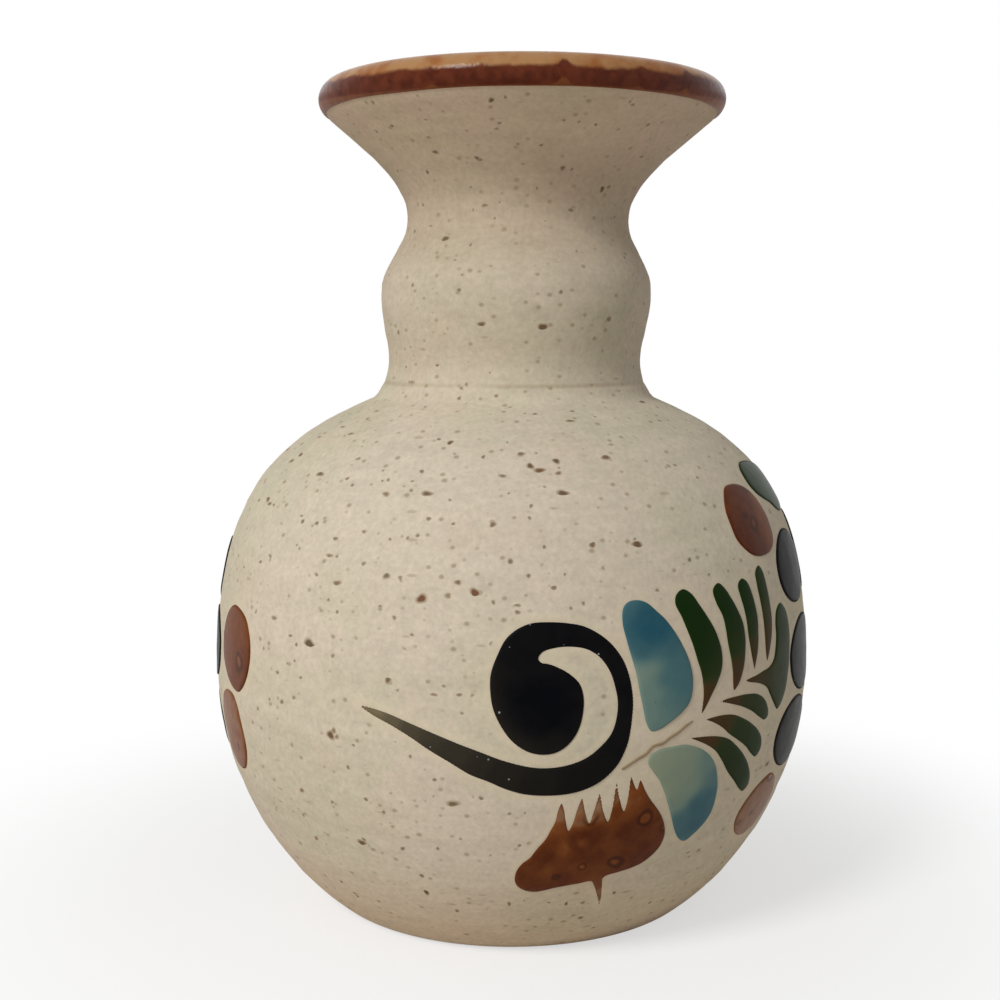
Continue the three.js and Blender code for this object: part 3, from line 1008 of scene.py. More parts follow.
@dataclass
class ClayBody:
    """The thrown clay, from the turned foot ring up over the lip and down to the floor inside."""

    floor: float = 6.5
    floor_fillet: float = 7.0
    foot_ring: float = 6.0
    foot_recess: float = 1.6
    foot_round: float = 0.8
    row_spacing: float = 0.95
    inside_spacing: float = 2.6
    glaze_bed: float = 0.35
    bed_starts: float = 1.2
    lip_rows: int = 9
    turn_steps: int = 420
    crease_depth: float = 0.1
    crease_width: float = 0.9
    rings: tuple[Band, ...] = ((2.9, 0.016), (4.7, 0.028), (11.3, 0.05))
    unevenness: tuple[tuple[float, float, float], ...] = ((0.1, 19.0, 3.0), (0.03, 4.0, 8.0))

    def floor_start(self) -> float:
        """Finds where the floor's fillet starts.

        Returns:
            The distance up the outside opposite its top.
        """
        distance = np.linspace(0.0, OUTSIDE.length / 2, 4000)
        heights = OUTSIDE.inside(distance, 0.0)[:, 1]
        return float(distance[np.argmax(heights >= self.floor + self.floor_fillet)])

    def inside_rows(self, top: float, coat: float, spacing: float) -> np.ndarray:
        """The inside from a distance up the outside down to the middle of the floor.

        Args:
            top: Distance up the outside at which it starts.
            coat: How far the surface stands off the clay.
            spacing: Spacing of the rows.

        Returns:
            Rows of radius and height.
        """
        bottom = self.floor_start()
        distance = np.linspace(top, bottom, int((top - bottom) / spacing))
        rows = OUTSIDE.inside(distance, coat)
        fall = rows[-1] - rows[-2]
        fall /= np.linalg.norm(fall)
        floor = self.floor + coat
        corner = rows[-1] + fall * (rows[-1][1] - floor) / -fall[1]
        edge = np.array([corner[0] - self.floor_fillet, floor])
        t = np.linspace(0.0, 1.0, 7)[1:, None]
        fillet = (1 - t) ** 2 * rows[-1] + 2 * t * (1 - t) * corner + t**2 * edge
        flat = np.array([[edge[0] * share, floor] for share in (0.66, 0.33, 0.0)])
        return np.vstack([rows, fillet, flat])

    def under_rows(self) -> np.ndarray:
        """The underside, from the middle over the recess and the foot ring to its outer corner.

        Returns:
            Rows of radius and height.
        """
        ring = OUTSIDE.foot_radius - self.foot_ring
        recess = self.foot_recess
        corner = np.array([OUTSIDE.foot_radius, 0.0])
        start = corner - (self.foot_round, 0.0)
        end = OUTSIDE.at(np.array([self.foot_round]))[0][0]
        t = np.array([0.25, 0.5, 0.75])[:, None]
        turn = (1 - t) ** 2 * start + 2 * t * (1 - t) * corner + t**2 * end
        rows = [
            (0.0, recess),
            (ring * 0.4, recess),
            (ring * 0.8, recess),
            (ring - 1.4 * recess, recess),
            (ring - 1.1 * recess, 0.94 * recess),
            (ring - 0.8 * recess, 0.72 * recess),
            (ring - 0.3 * recess, 0.25 * recess),
            (ring - 0.05 * recess, 0.06 * recess),
            (ring + 0.3 * recess, 0.0),
            (ring + 2.0 * recess, 0.0),
            tuple(start),
        ]
        return np.vstack([np.array(rows), turn])

    def outside_rows(self) -> tuple[np.ndarray, np.ndarray]:
        """The outside, with a shallow bed for the lip glaze at its top.

        Returns:
            Distances up the outside, and rows of radius and height.
        """
        distance = np.linspace(self.foot_round, OUTSIDE.length, int(OUTSIDE.length / self.row_spacing))
        extra = np.linspace(CREASE_UP - self.crease_width, CREASE_UP + self.crease_width, 5)
        distance = np.unique(np.concatenate([distance, extra]).round(3))
        rows, normals = OUTSIDE.at(distance)
        sunk = -self.bed(distance - OUTSIDE.length)
        sunk -= self.crease_depth * np.exp(-(((distance - CREASE_UP) / (0.5 * self.crease_width)) ** 2))
        return distance, rows + normals * sunk[:, None]

    def bed(self, past: np.ndarray) -> np.ndarray:
        """Depth of the glaze's bed at distances past the rim."""
        return self.glaze_bed * smoothed(past, -self.bed_starts, 1.0)

    def lip_curve(self, past: np.ndarray, lift: np.ndarray) -> np.ndarray:
        """The lip's half circle.

        Args:
            past: Distances past the rim, over the lip.
            lift: Heights above the finished lip.

        Returns:
            Rows of radius and height.
        """
        angle = np.radians(OUTSIDE.flare_slope - 90) + past / OUTSIDE.lip_radius
        reach = OUTSIDE.lip_radius + lift
        return OUTSIDE.lip_centre + np.stack([np.cos(angle) * reach, np.sin(angle) * reach], axis=1)

    def build(self, painting: "Painting") -> bpy.types.Object:
        """Turns the clay.

        Args:
            painting: The painting, which the clay is smooth under.

        Returns:
            The piece.
        """
        distance, outside = self.outside_rows()
        past = np.linspace(0.0, math.pi * OUTSIDE.lip_radius, self.lip_rows + 2)[1:-1]
        lip = self.lip_curve(past, -np.maximum(self.bed(past), 0.0))
        inside = self.inside_rows(OUTSIDE.length, 0.0, self.inside_spacing)
        under = self.under_rows()
        profile = np.vstack([under, outside, lip, inside])
        piece, rows = turned("thrown_clay", profile, self.turn_steps)
        below = np.full(len(under), UP_BELOW)
        hollow = np.full(len(inside), UP_INSIDE)
        up = np.concatenate([below, distance, OUTSIDE.length + past, hollow])[rows]
        points = points_of(piece)
        paint = painting.distances(turn_of(points) * OUTSIDE.belly_radius, up)
        points += self.marks(points, up, paint)
        move_points(piece, OUTSIDE.leant(points))
        note(piece, "up", up)
        note(piece, "paint", paint)
        shade_smooth(piece)
        return piece

    def marks(self, points: np.ndarray, up: np.ndarray, paint: np.ndarray) -> np.ndarray:
        """Steps that give the outside its throwing rings and unevenness.

        Args:
            points: Rows of x, y and z in millimetres.
            up: Distance up the outside of each.
            paint: Distance of each from the painting.

        Returns:
            A step for each point.
        """
        around = turn_of(points)
        wave = np.zeros(len(points))
        for number, (length, height) in enumerate(self.rings):
            phase = 1.7 * number + 0.5 * np.sin(around + number)
            wave += height * np.sin(2 * math.pi * up / length + phase)
        for height, size, seed in self.unevenness:
            wave += height * rough_field(points, size, seed)
        shown = smoothed(up, 1.0, 6.0) * (1.0 - smoothed(up, OUTSIDE.length - 6.0, OUTSIDE.length - 1.0))
        calm = 0.35 + 0.65 * smoothed(paint, 0.0, 2.5)
        return outward(around) * (wave * shown * calm)[:, None]


@dataclass
class LipGlaze:
    """The coat over the lip, which ends in an uneven line outside and in short runs inside."""

    depth: float = 0.35
    roll: float = 1.1
    outer_edge: float = -0.15
    inner_reach: float = 0.55
    turn_steps: int = 300
    side_creep: float = 1.5
    wander_depth: float = 0.45
    wander_fade: float = 0.9
    drip_length: float = 2.2
    drip_fade: float = 8.0
    gap: float = 0.56
    bite: float = 0.03
    run_width: float = 1.5
    runs: tuple[Band, ...] = ((10.1, 1.3), (47.7, 0.9), (-24.0, 0.4), (31.0, 0.5))

    def build(self, clay: ClayBody) -> bpy.types.Object:
        """Turns the coat.

        Args:
            clay: The clay that it lies on.

        Returns:
            The piece.
        """
        lip_length = math.pi * OUTSIDE.lip_radius
        flare = OUTSIDE.flare_share
        inner_end = float(np.interp(self.inner_reach, flare[flare > 0], OUTSIDE.distances[flare > 0]))
        inner_length = OUTSIDE.length - inner_end
        reach = lip_length + inner_length
        parts = ((self.outer_edge, 2.0, 14), (2.0, lip_length, 14), (lip_length, reach, 12))
        past = np.unique(np.concatenate([np.linspace(*part) for part in parts]))
        face, bed = self.surface(clay, past, lip_length)
        profile = np.vstack([face, bed[::-1], face[:1]])
        piece, rows = turned("lip_coat", profile, self.turn_steps)
        over = np.concatenate([past, past[::-1], past[:1]])[rows]
        points = points_of(piece)
        around = turn_of(points)
        wander = self.wander(around, 6.0, 1.0)
        drips = np.maximum(self.wander(around, 11.0, 4.0), 0.0) ** 1.5
        outer = np.exp(-((over - self.outer_edge) / self.wander_fade))
        inner = smoothed(over, reach - self.drip_fade, reach)
        level, rise = slope(OUTSIDE.flare_slope, 1.0)
        down_flare = outward(around) * -level - (0.0, 0.0, rise)
        points += down_flare * (outer * self.wander_depth * wander)[:, None]
        points[:, 2] -= inner * self.drip_length * drips
        move_points(piece, OUTSIDE.leant(points))
        shown = over - self.side_creep * np.abs(np.sin(around)) ** 5
        for turn, length in self.runs:
            shown -= length * np.exp(-(((np.degrees(around) - turn) / self.run_width) ** 2))
        note(piece, "over", shown)
        shade_smooth(piece)
        return piece

    @staticmethod
    def wander(around: np.ndarray, waves: float, seed: float) -> np.ndarray:
        """An uneven line round the lip, from -1 to 1.

        Args:
            around: Angles round the axis.
            waves: Lumps in one turn.
            seed: Moves the pattern.

        Returns:
            One number for each angle.
        """
        radius = waves / (2 * math.pi)
        level = np.full(len(around), seed)
        spots = np.stack([np.cos(around) * radius, np.sin(around) * radius, level], axis=1)
        return np.clip(rough_field(spots, 1.0) + 0.5 * rough_field(spots * 2.3, 1.0, 5.0), -1.0, 1.0)

    def surface(self, clay: ClayBody, past: np.ndarray, lip_length: float) -> tuple[np.ndarray, np.ndarray]:
        """The coat's face and the side that lies on the clay.

        Args:
            clay: The clay that it lies on.
            past: Distances past the rim, over the lip and down inside.
            lip_length: Length of the lip's half circle.

        Returns:
            Rows of radius and height for each side.
        """
        bed = -clay.bed(past)
        swell = 1.0 - np.clip(1.0 - (past - past[0]) / self.roll, 0.0, 1.0) ** 2
        inner = 1.0 - np.clip(1.0 - (past[-1] - past) / (1.6 * self.roll), 0.0, 1.0) ** 2
        thick = self.depth * np.sqrt(swell) * np.sqrt(inner)
        face = self.rows(clay, past, bed + thick, lip_length)
        return face, self.rows(clay, past, bed - self.bite, lip_length)

    def rows(self, clay: ClayBody, past: np.ndarray, lift: np.ndarray, lip_length: float) -> np.ndarray:
        """Points over the flare's end, round the lip and down inside.

        Args:
            clay: The clay that it lies on.
            past: Distances past the rim.
            lift: Heights above the finished surface.
            lip_length: Length of the lip's half circle.

        Returns:
            Rows of radius and height.
        """
        before, normal = OUTSIDE.at(OUTSIDE.length + np.minimum(past, 0.0))
        before = before + normal * lift[:, None]
        lip = clay.lip_curve(np.clip(past, 0.0, lip_length), lift)
        depth_inside = np.clip(past - lip_length, 0.0, None)
        finished = OUTSIDE.inside(OUTSIDE.length - depth_inside, self.gap)
        clay_side = OUTSIDE.inside(OUTSIDE.length - depth_inside, 0.0)
        toward = finished - clay_side
        toward /= np.linalg.norm(toward, axis=1)[:, None]
        within = finished + toward * lift[:, None]
        return np.where((past < 0.0)[:, None], before, np.where((past <= lip_length)[:, None], lip, within))


@dataclass
class LinerGlaze:
    """The coat inside, from just under the lip coat to the floor."""

    coat: float = 0.45
    gap: float = 0.05
    start_below: float = 7.5
    spacing: float = 1.6
    turn_steps: int = 160

    def build(self, clay: ClayBody) -> bpy.types.Object:
        """Turns the coat.

        Args:
            clay: The clay that it lies on.

        Returns:
            The piece.
        """
        top = OUTSIDE.length - self.start_below
        face = clay.inside_rows(top, self.coat, self.spacing)
        bed = clay.inside_rows(top, self.gap, self.spacing)
        profile = np.vstack([bed[::-1], face])
        piece, _ = turned("inner_coat", profile, self.turn_steps)
        move_points(piece, OUTSIDE.leant(points_of(piece)))
        shade_smooth(piece)
        return piece


# Painting


def between(
    first: np.ndarray, last: np.ndarray, leave: np.ndarray, arrive: np.ndarray, steps: int
) -> list[np.ndarray]:
    """Points of a smooth curve from one place up to, but not at, the next.

    Args:
        first: Place at which it starts.
        last: Place at which it ends.
        leave: Direction and speed at the start.
        arrive: Direction and speed at the end.
        steps: Number of points.

    Returns:
        One row for each point.
    """
    return [
        (2 * t**3 - 3 * t**2 + 1) * first
        + (t**3 - 2 * t**2 + t) * leave
        + (3 * t**2 - 2 * t**3) * last
        + (t**3 - t**2) * arrive
        for t in np.linspace(0.0, 1.0, steps, endpoint=False)
    ]


def brush(knots: Tones, steps: int = 12) -> np.ndarray:
    """Outline of a brush stroke.

    Args:
        knots: Places round and up, with the half width there.
        steps: Points from knot to knot.

    Returns:
        Rows of round and up.
    """
    rows = np.array([(around, up, half * half) for around, up, half in knots])
    rows = np.vstack([2 * rows[0] - rows[1], rows, 2 * rows[-1] - rows[-2]])
    curve = []
    for i in range(1, len(rows) - 2):
        a, b = rows[i], rows[i + 1]
        leave, arrive = 0.5 * (b - rows[i - 1]), 0.5 * (rows[i + 2] - a)
        curve.extend(between(a, b, leave, arrive, steps))
    curve.append(rows[-2])
    middle = np.array(curve)
    along = np.gradient(middle[:, :2], axis=0)
    along /= np.linalg.norm(along, axis=1)[:, None]
    half = np.sqrt(np.maximum(middle[:, 2], 0.002))
    across = np.stack([-along[:, 1], along[:, 0]], axis=1) * half[:, None]
    return np.vstack([middle[:, :2] + across, (middle[:, :2] - across)[::-1]])


def oval(
    around: float, up: float, half_length: float, half_width: float, turn: float, steps: int = 72
) -> np.ndarray:
    """Outline of an oval dab.

    Args:
        around: Place of its centre round the belly.
        up: Place of its centre up the outside.
        half_length: Half its length.
        half_width: Half its width.
        turn: Its turn in degrees.
        steps: Points of the outline.

    Returns:
        Rows of round and up.
    """
    angle = np.linspace(0.0, 2 * math.pi, steps, endpoint=False)
    x, y = half_length * np.cos(angle), half_width * np.sin(angle)
    c, s = math.cos(math.radians(turn)), math.sin(math.radians(turn))
    return np.stack([around + c * x - s * y, up + s * x + c * y], axis=1)


def loop(points: Places, steps: int = 6) -> np.ndarray:
    """Smooth closed outline through points.

    Args:
        points: Places round and up.
        steps: Points from place to place.

    Returns:
        Rows of round and up.
    """
    rows = np.array(points, float)
    out = []
    for i in range(len(rows)):
        p0, p1, p2, p3 = (rows[(i + k) % len(rows)] for k in (-1, 0, 1, 2))
        d0, d1, d2 = (math.sqrt(np.linalg.norm(b - a)) for a, b in ((p0, p1), (p1, p2), (p2, p3)))
        leave = ((p1 - p0) / d0 - (p2 - p0) / (d0 + d1) + (p2 - p1) / d1) * d1
        arrive = ((p2 - p1) / d1 - (p3 - p1) / (d1 + d2) + (p3 - p2) / d2) * d1
        out.extend(between(p1, p2, leave, arrive, steps))
    return np.array(out)


def within(points: np.ndarray, outline: np.ndarray) -> np.ndarray:
    """Which points lie inside an outline.

    Args:
        points: Rows of two numbers.
        outline: Rows of two numbers, closed on itself.

    Returns:
        True for each point inside.
    """
    x, y = points[:, 0:1], points[:, 1:2]
    ax, ay = outline.T
    bx, by = np.roll(outline, -1, axis=0).T
    turn = (bx - ax) * (y - ay) - (x - ax) * (by - ay)
    rising = (ay <= y) & (by > y) & (turn > 0)
    falling = (ay > y) & (by <= y) & (turn < 0)
    return (rising.sum(axis=1) - falling.sum(axis=1)) != 0


def nearest(points: np.ndarray, starts: np.ndarray, ends: np.ndarray) -> np.ndarray:
    """Distance of each point from the nearest of many short lines.

    Args:
        points: Rows of two numbers.
        starts: First ends of the lines.
        ends: Second ends of the lines.

    Returns:
        One distance for each point.
    """
    step = ends - starts
    length = np.maximum((step**2).sum(axis=1), 1e-12)
    share = ((points[:, None, :] - starts[None]) * step[None]).sum(axis=2) / length
    share = np.clip(share, 0.0, 1.0)
    gap = points[:, None, :] - (starts[None] + share[..., None] * step[None])
    return np.sqrt((gap**2).sum(axis=2).min(axis=1))


@dataclass
class Dab:
    """One dab of glaze, drawn on the unrolled outside and pooled by its own weight.

    Attributes:
        name: Name of its solid, without front or back.
        paint: Its glaze.
        outline: Its outline, as rows of round and up.
        tones: Places round and up with the tone of the glaze there.
        spacing: Distance between the points of its surface.
        rings: Distances from its edge at which its surface has points.
        ring_gap: Least distance from the last ring to the points within it.
        bite: How deep its edge sinks into the clay.
        sole: Depth of its underside.
        lumpiness: How much its height varies.
        lump: Size of those lumps.
    """

    name: str
    paint: Paint
    outline: np.ndarray
    tones: Tones
    spacing: float = 0.75
    rings: tuple[float, ...] = (0.06, 0.16, 0.32, 0.55)
    ring_gap: float = 0.35
    bite: float = 0.03
    sole: float = 0.06
    lumpiness: float = 0.12
    lump: float = 2.5

    def __post_init__(self) -> None:
        """Turns the outline into true distances from the dab's own middle."""
        self.centre = float((self.outline[:, 0].min() + self.outline[:, 0].max()) / 2)
        self.starts = self.true_size(self.outline)
        self.ends = np.roll(self.starts, -1, axis=0)

    def true_size(self, outline: np.ndarray) -> np.ndarray:
        """Turns places round and up into true distances from the dab's middle."""
        across = (outline[:, 0] - self.centre) * OUTSIDE.narrowing(outline[:, 1])
        return np.stack([across, outline[:, 1]], axis=1)

    def meshed(self, extra: np.ndarray) -> tuple[np.ndarray, np.ndarray]:
        """Fills the outline with triangles.

        Args:
            extra: Points inside that the triangles use too.

        Returns:
            The points, and three of their numbers for each triangle.
        """
        count = len(self.starts)
        points = [Vector(row) for row in np.vstack([self.starts, extra])]
        edges = [(i, (i + 1) % count) for i in range(count)]
        found = delaunay_2d_cdt(points, edges, [], 0, 1e-5, False)
        places = np.array([tuple(point) for point in found[0]])
        faces = np.array([list(face) for face in found[2]])
        kept = within(places[faces].mean(axis=1), self.starts)
        return places, faces[kept]

    def filling(self) -> np.ndarray:
        """Points inside: rings that follow the edge, and an even field beyond them.

        Returns:
            Rows of true distances.
        """
        middle = (self.starts + self.ends) / 2
        step = self.ends - self.starts
        normal = np.stack([-step[:, 1], step[:, 0]], axis=1)
        normal /= np.maximum(np.linalg.norm(normal, axis=1)[:, None], 1e-9)
        kept = []
        for ring in self.rings:
            for way in (1.0, -1.0):
                candidates = middle + normal * ring * way
                distance = nearest(candidates, self.starts, self.ends)
                fitting = within(candidates, self.starts) & (distance > CROWDED * ring)
                kept.append(candidates[fitting])
        low = self.starts.min(axis=0)
        high = self.starts.max(axis=0)
        rows = np.arange(low[1], high[1], self.spacing * ROW_SHARE)
        field_points = np.array(
            [
                (x + (i % 2) * self.spacing / 2, y)
                for i, y in enumerate(rows)
                for x in np.arange(low[0], high[0], self.spacing)
            ]
        )
        distance = nearest(field_points, self.starts, self.ends)
        fitting = within(field_points, self.starts) & (distance > self.rings[-1] + self.ring_gap)
        return np.vstack([*kept, field_points[fitting]])

    def pooled(self, points: np.ndarray, triangles: np.ndarray, rim: np.ndarray) -> np.ndarray:
        """How full the dab is at each point, as a soap film blown up over its outline.

        Args:
            points: Points in true distances.
            triangles: Three numbers of points for each triangle.
            rim: True for each point on the outline.

        Returns:
            About the distance to the outline in a narrow dab, and more slowly rising in a wide one.
        """
        count = len(points)
        stiff = np.zeros((count, count))
        load = np.zeros(count)
        corners = points[triangles]
        area = 0.5 * np.abs(np.cross(corners[:, 1] - corners[:, 0], corners[:, 2] - corners[:, 0]))
        area = np.maximum(area, 1e-7)
        for k in range(3):
            i, j, apex = triangles[:, (k + 1) % 3], triangles[:, (k + 2) % 3], triangles[:, k]
            one, two = points[i] - points[apex], points[j] - points[apex]
            weight = (one * two).sum(axis=1) / (4.0 * area)
            np.add.at(stiff, (i, j), -weight)
            np.add.at(stiff, (j, i), -weight)
            np.add.at(stiff, (i, i), weight)
            np.add.at(stiff, (j, j), weight)
            np.add.at(load, apex, area / 3.0)
        used = np.zeros(count, bool)
        used[triangles.ravel()] = True
        free = np.flatnonzero(~rim & used)
        film = np.zeros(count)
        if len(free):
            film[free] = np.linalg.solve(stiff[np.ix_(free, free)] + 1e-9 * np.eye(len(free)), load[free])
        return np.sqrt(2.0 * np.maximum(film, 0.0))

    def prepare(self) -> None:
        """Makes the dab's flat mesh and works out how full it is, once for all its copies."""
        points, faces = self.meshed(self.filling())
        corners = points[faces]
        turn = np.cross(corners[:, 1] - corners[:, 0], corners[:, 2] - corners[:, 0])
        faces[turn < 0] = faces[turn < 0][:, ::-1]
        distance = nearest(points, self.starts, self.ends)
        rim = distance < 1e-4
        self.flat, self.faces, self.rim = points, faces, rim
        self.fullness = self.pooled(points, faces, rim)
        tones = np.array(self.tones)
        places = self.true_size(tones[:, :2])
        gap = ((points[:, None, :] - places[None]) ** 2).sum(axis=2) + self.paint.value.blend
        weight = 1.0 / gap**2
        self.tone = (weight * tones[:, 2]).sum(axis=1) / weight.sum(axis=1)

    def build(self, prefix: str, shift: float, clay: ClayBody) -> bpy.types.Object:
        """Lays the dab on the vase.

        Args:
            prefix: First part of its name.
            shift: Distance round the belly by which it is moved.
            clay: The clay, whose marks the dab follows.

        Returns:
            The piece.
        """
        up = self.flat[:, 1]
        around = self.centre + self.flat[:, 0] / OUTSIDE.narrowing(up) + shift
        flat = np.stack([around, up, 0 * up], axis=1)
        wobble = 1.0 + self.lumpiness * rough_field(flat, self.lump)
        glaze = self.paint.value
        lift = glaze.rise * np.tanh(self.fullness / glaze.roll) * wobble - self.bite
        top = OUTSIDE.laid(around, up, np.where(self.rim, -self.bite, lift))
        bottom = OUTSIDE.laid(around, up, np.full(len(up), -self.sole))
        count = len(self.flat)
        under = np.arange(count) + count
        under[self.rim] = np.flatnonzero(self.rim)
        faces = np.vstack([self.faces, under[self.faces][:, ::-1]])
        used = np.unique(faces)
        renumber = np.zeros(2 * count, int)
        renumber[used] = np.arange(len(used))
        points = np.vstack([top, bottom])
        points += clay.marks(points, np.tile(up, 2), np.zeros(2 * count))
        points = points[used]
        piece = piece_from(f"{prefix}_{self.name}_dab", points, renumber[faces].tolist())
        note(piece, "fullness", np.tile(self.fullness, 2)[used])
        note(piece, "tone", np.tile(self.tone, 2)[used])
        shade_smooth(piece)
        return piece

    def gap(self, around: np.ndarray, up: np.ndarray) -> tuple[np.ndarray, np.ndarray]:
        """Signed distance from the dab of the points that are near it.

        Args:
            around: Places round the belly.
            up: Places up the outside.

        Returns:
            Numbers of the near points, and their distances, below 0 on the dab.
        """
        turn = 2 * math.pi * OUTSIDE.belly_radius
        away = (around - self.centre + turn / 2) % turn - turn / 2
        true = np.stack([away * OUTSIDE.narrowing(up), up], axis=1)
        low = self.starts.min(axis=0) - PAINT_FAR
        high = self.starts.max(axis=0) + PAINT_FAR
        close = np.flatnonzero(np.all((true > low) & (true < high), axis=1))
        if not len(close):
            return close, np.zeros(0)
        distance = nearest(true[close], self.starts, self.ends)
        sign = np.where(within(true[close], self.starts), -1.0, 1.0)
        return close, distance * sign


def graded(start: tuple[float, float], end: tuple[float, float], tones: tuple[float, ...]) -> Tones:
    """Tones along a straight line.

    Args:
        start: Place of the first tone, round and up.
        end: Place of the last tone.
        tones: Evenly spaced tones.

    Returns:
        Places round and up, each with its tone.
    """
    shares = np.linspace(0.0, 1.0, len(tones))
    return tuple(
        (start[0] + (end[0] - start[0]) * share, start[1] + (end[1] - start[1]) * share, tone)
        for share, tone in zip(shares.tolist(), tones, strict=True)
    )


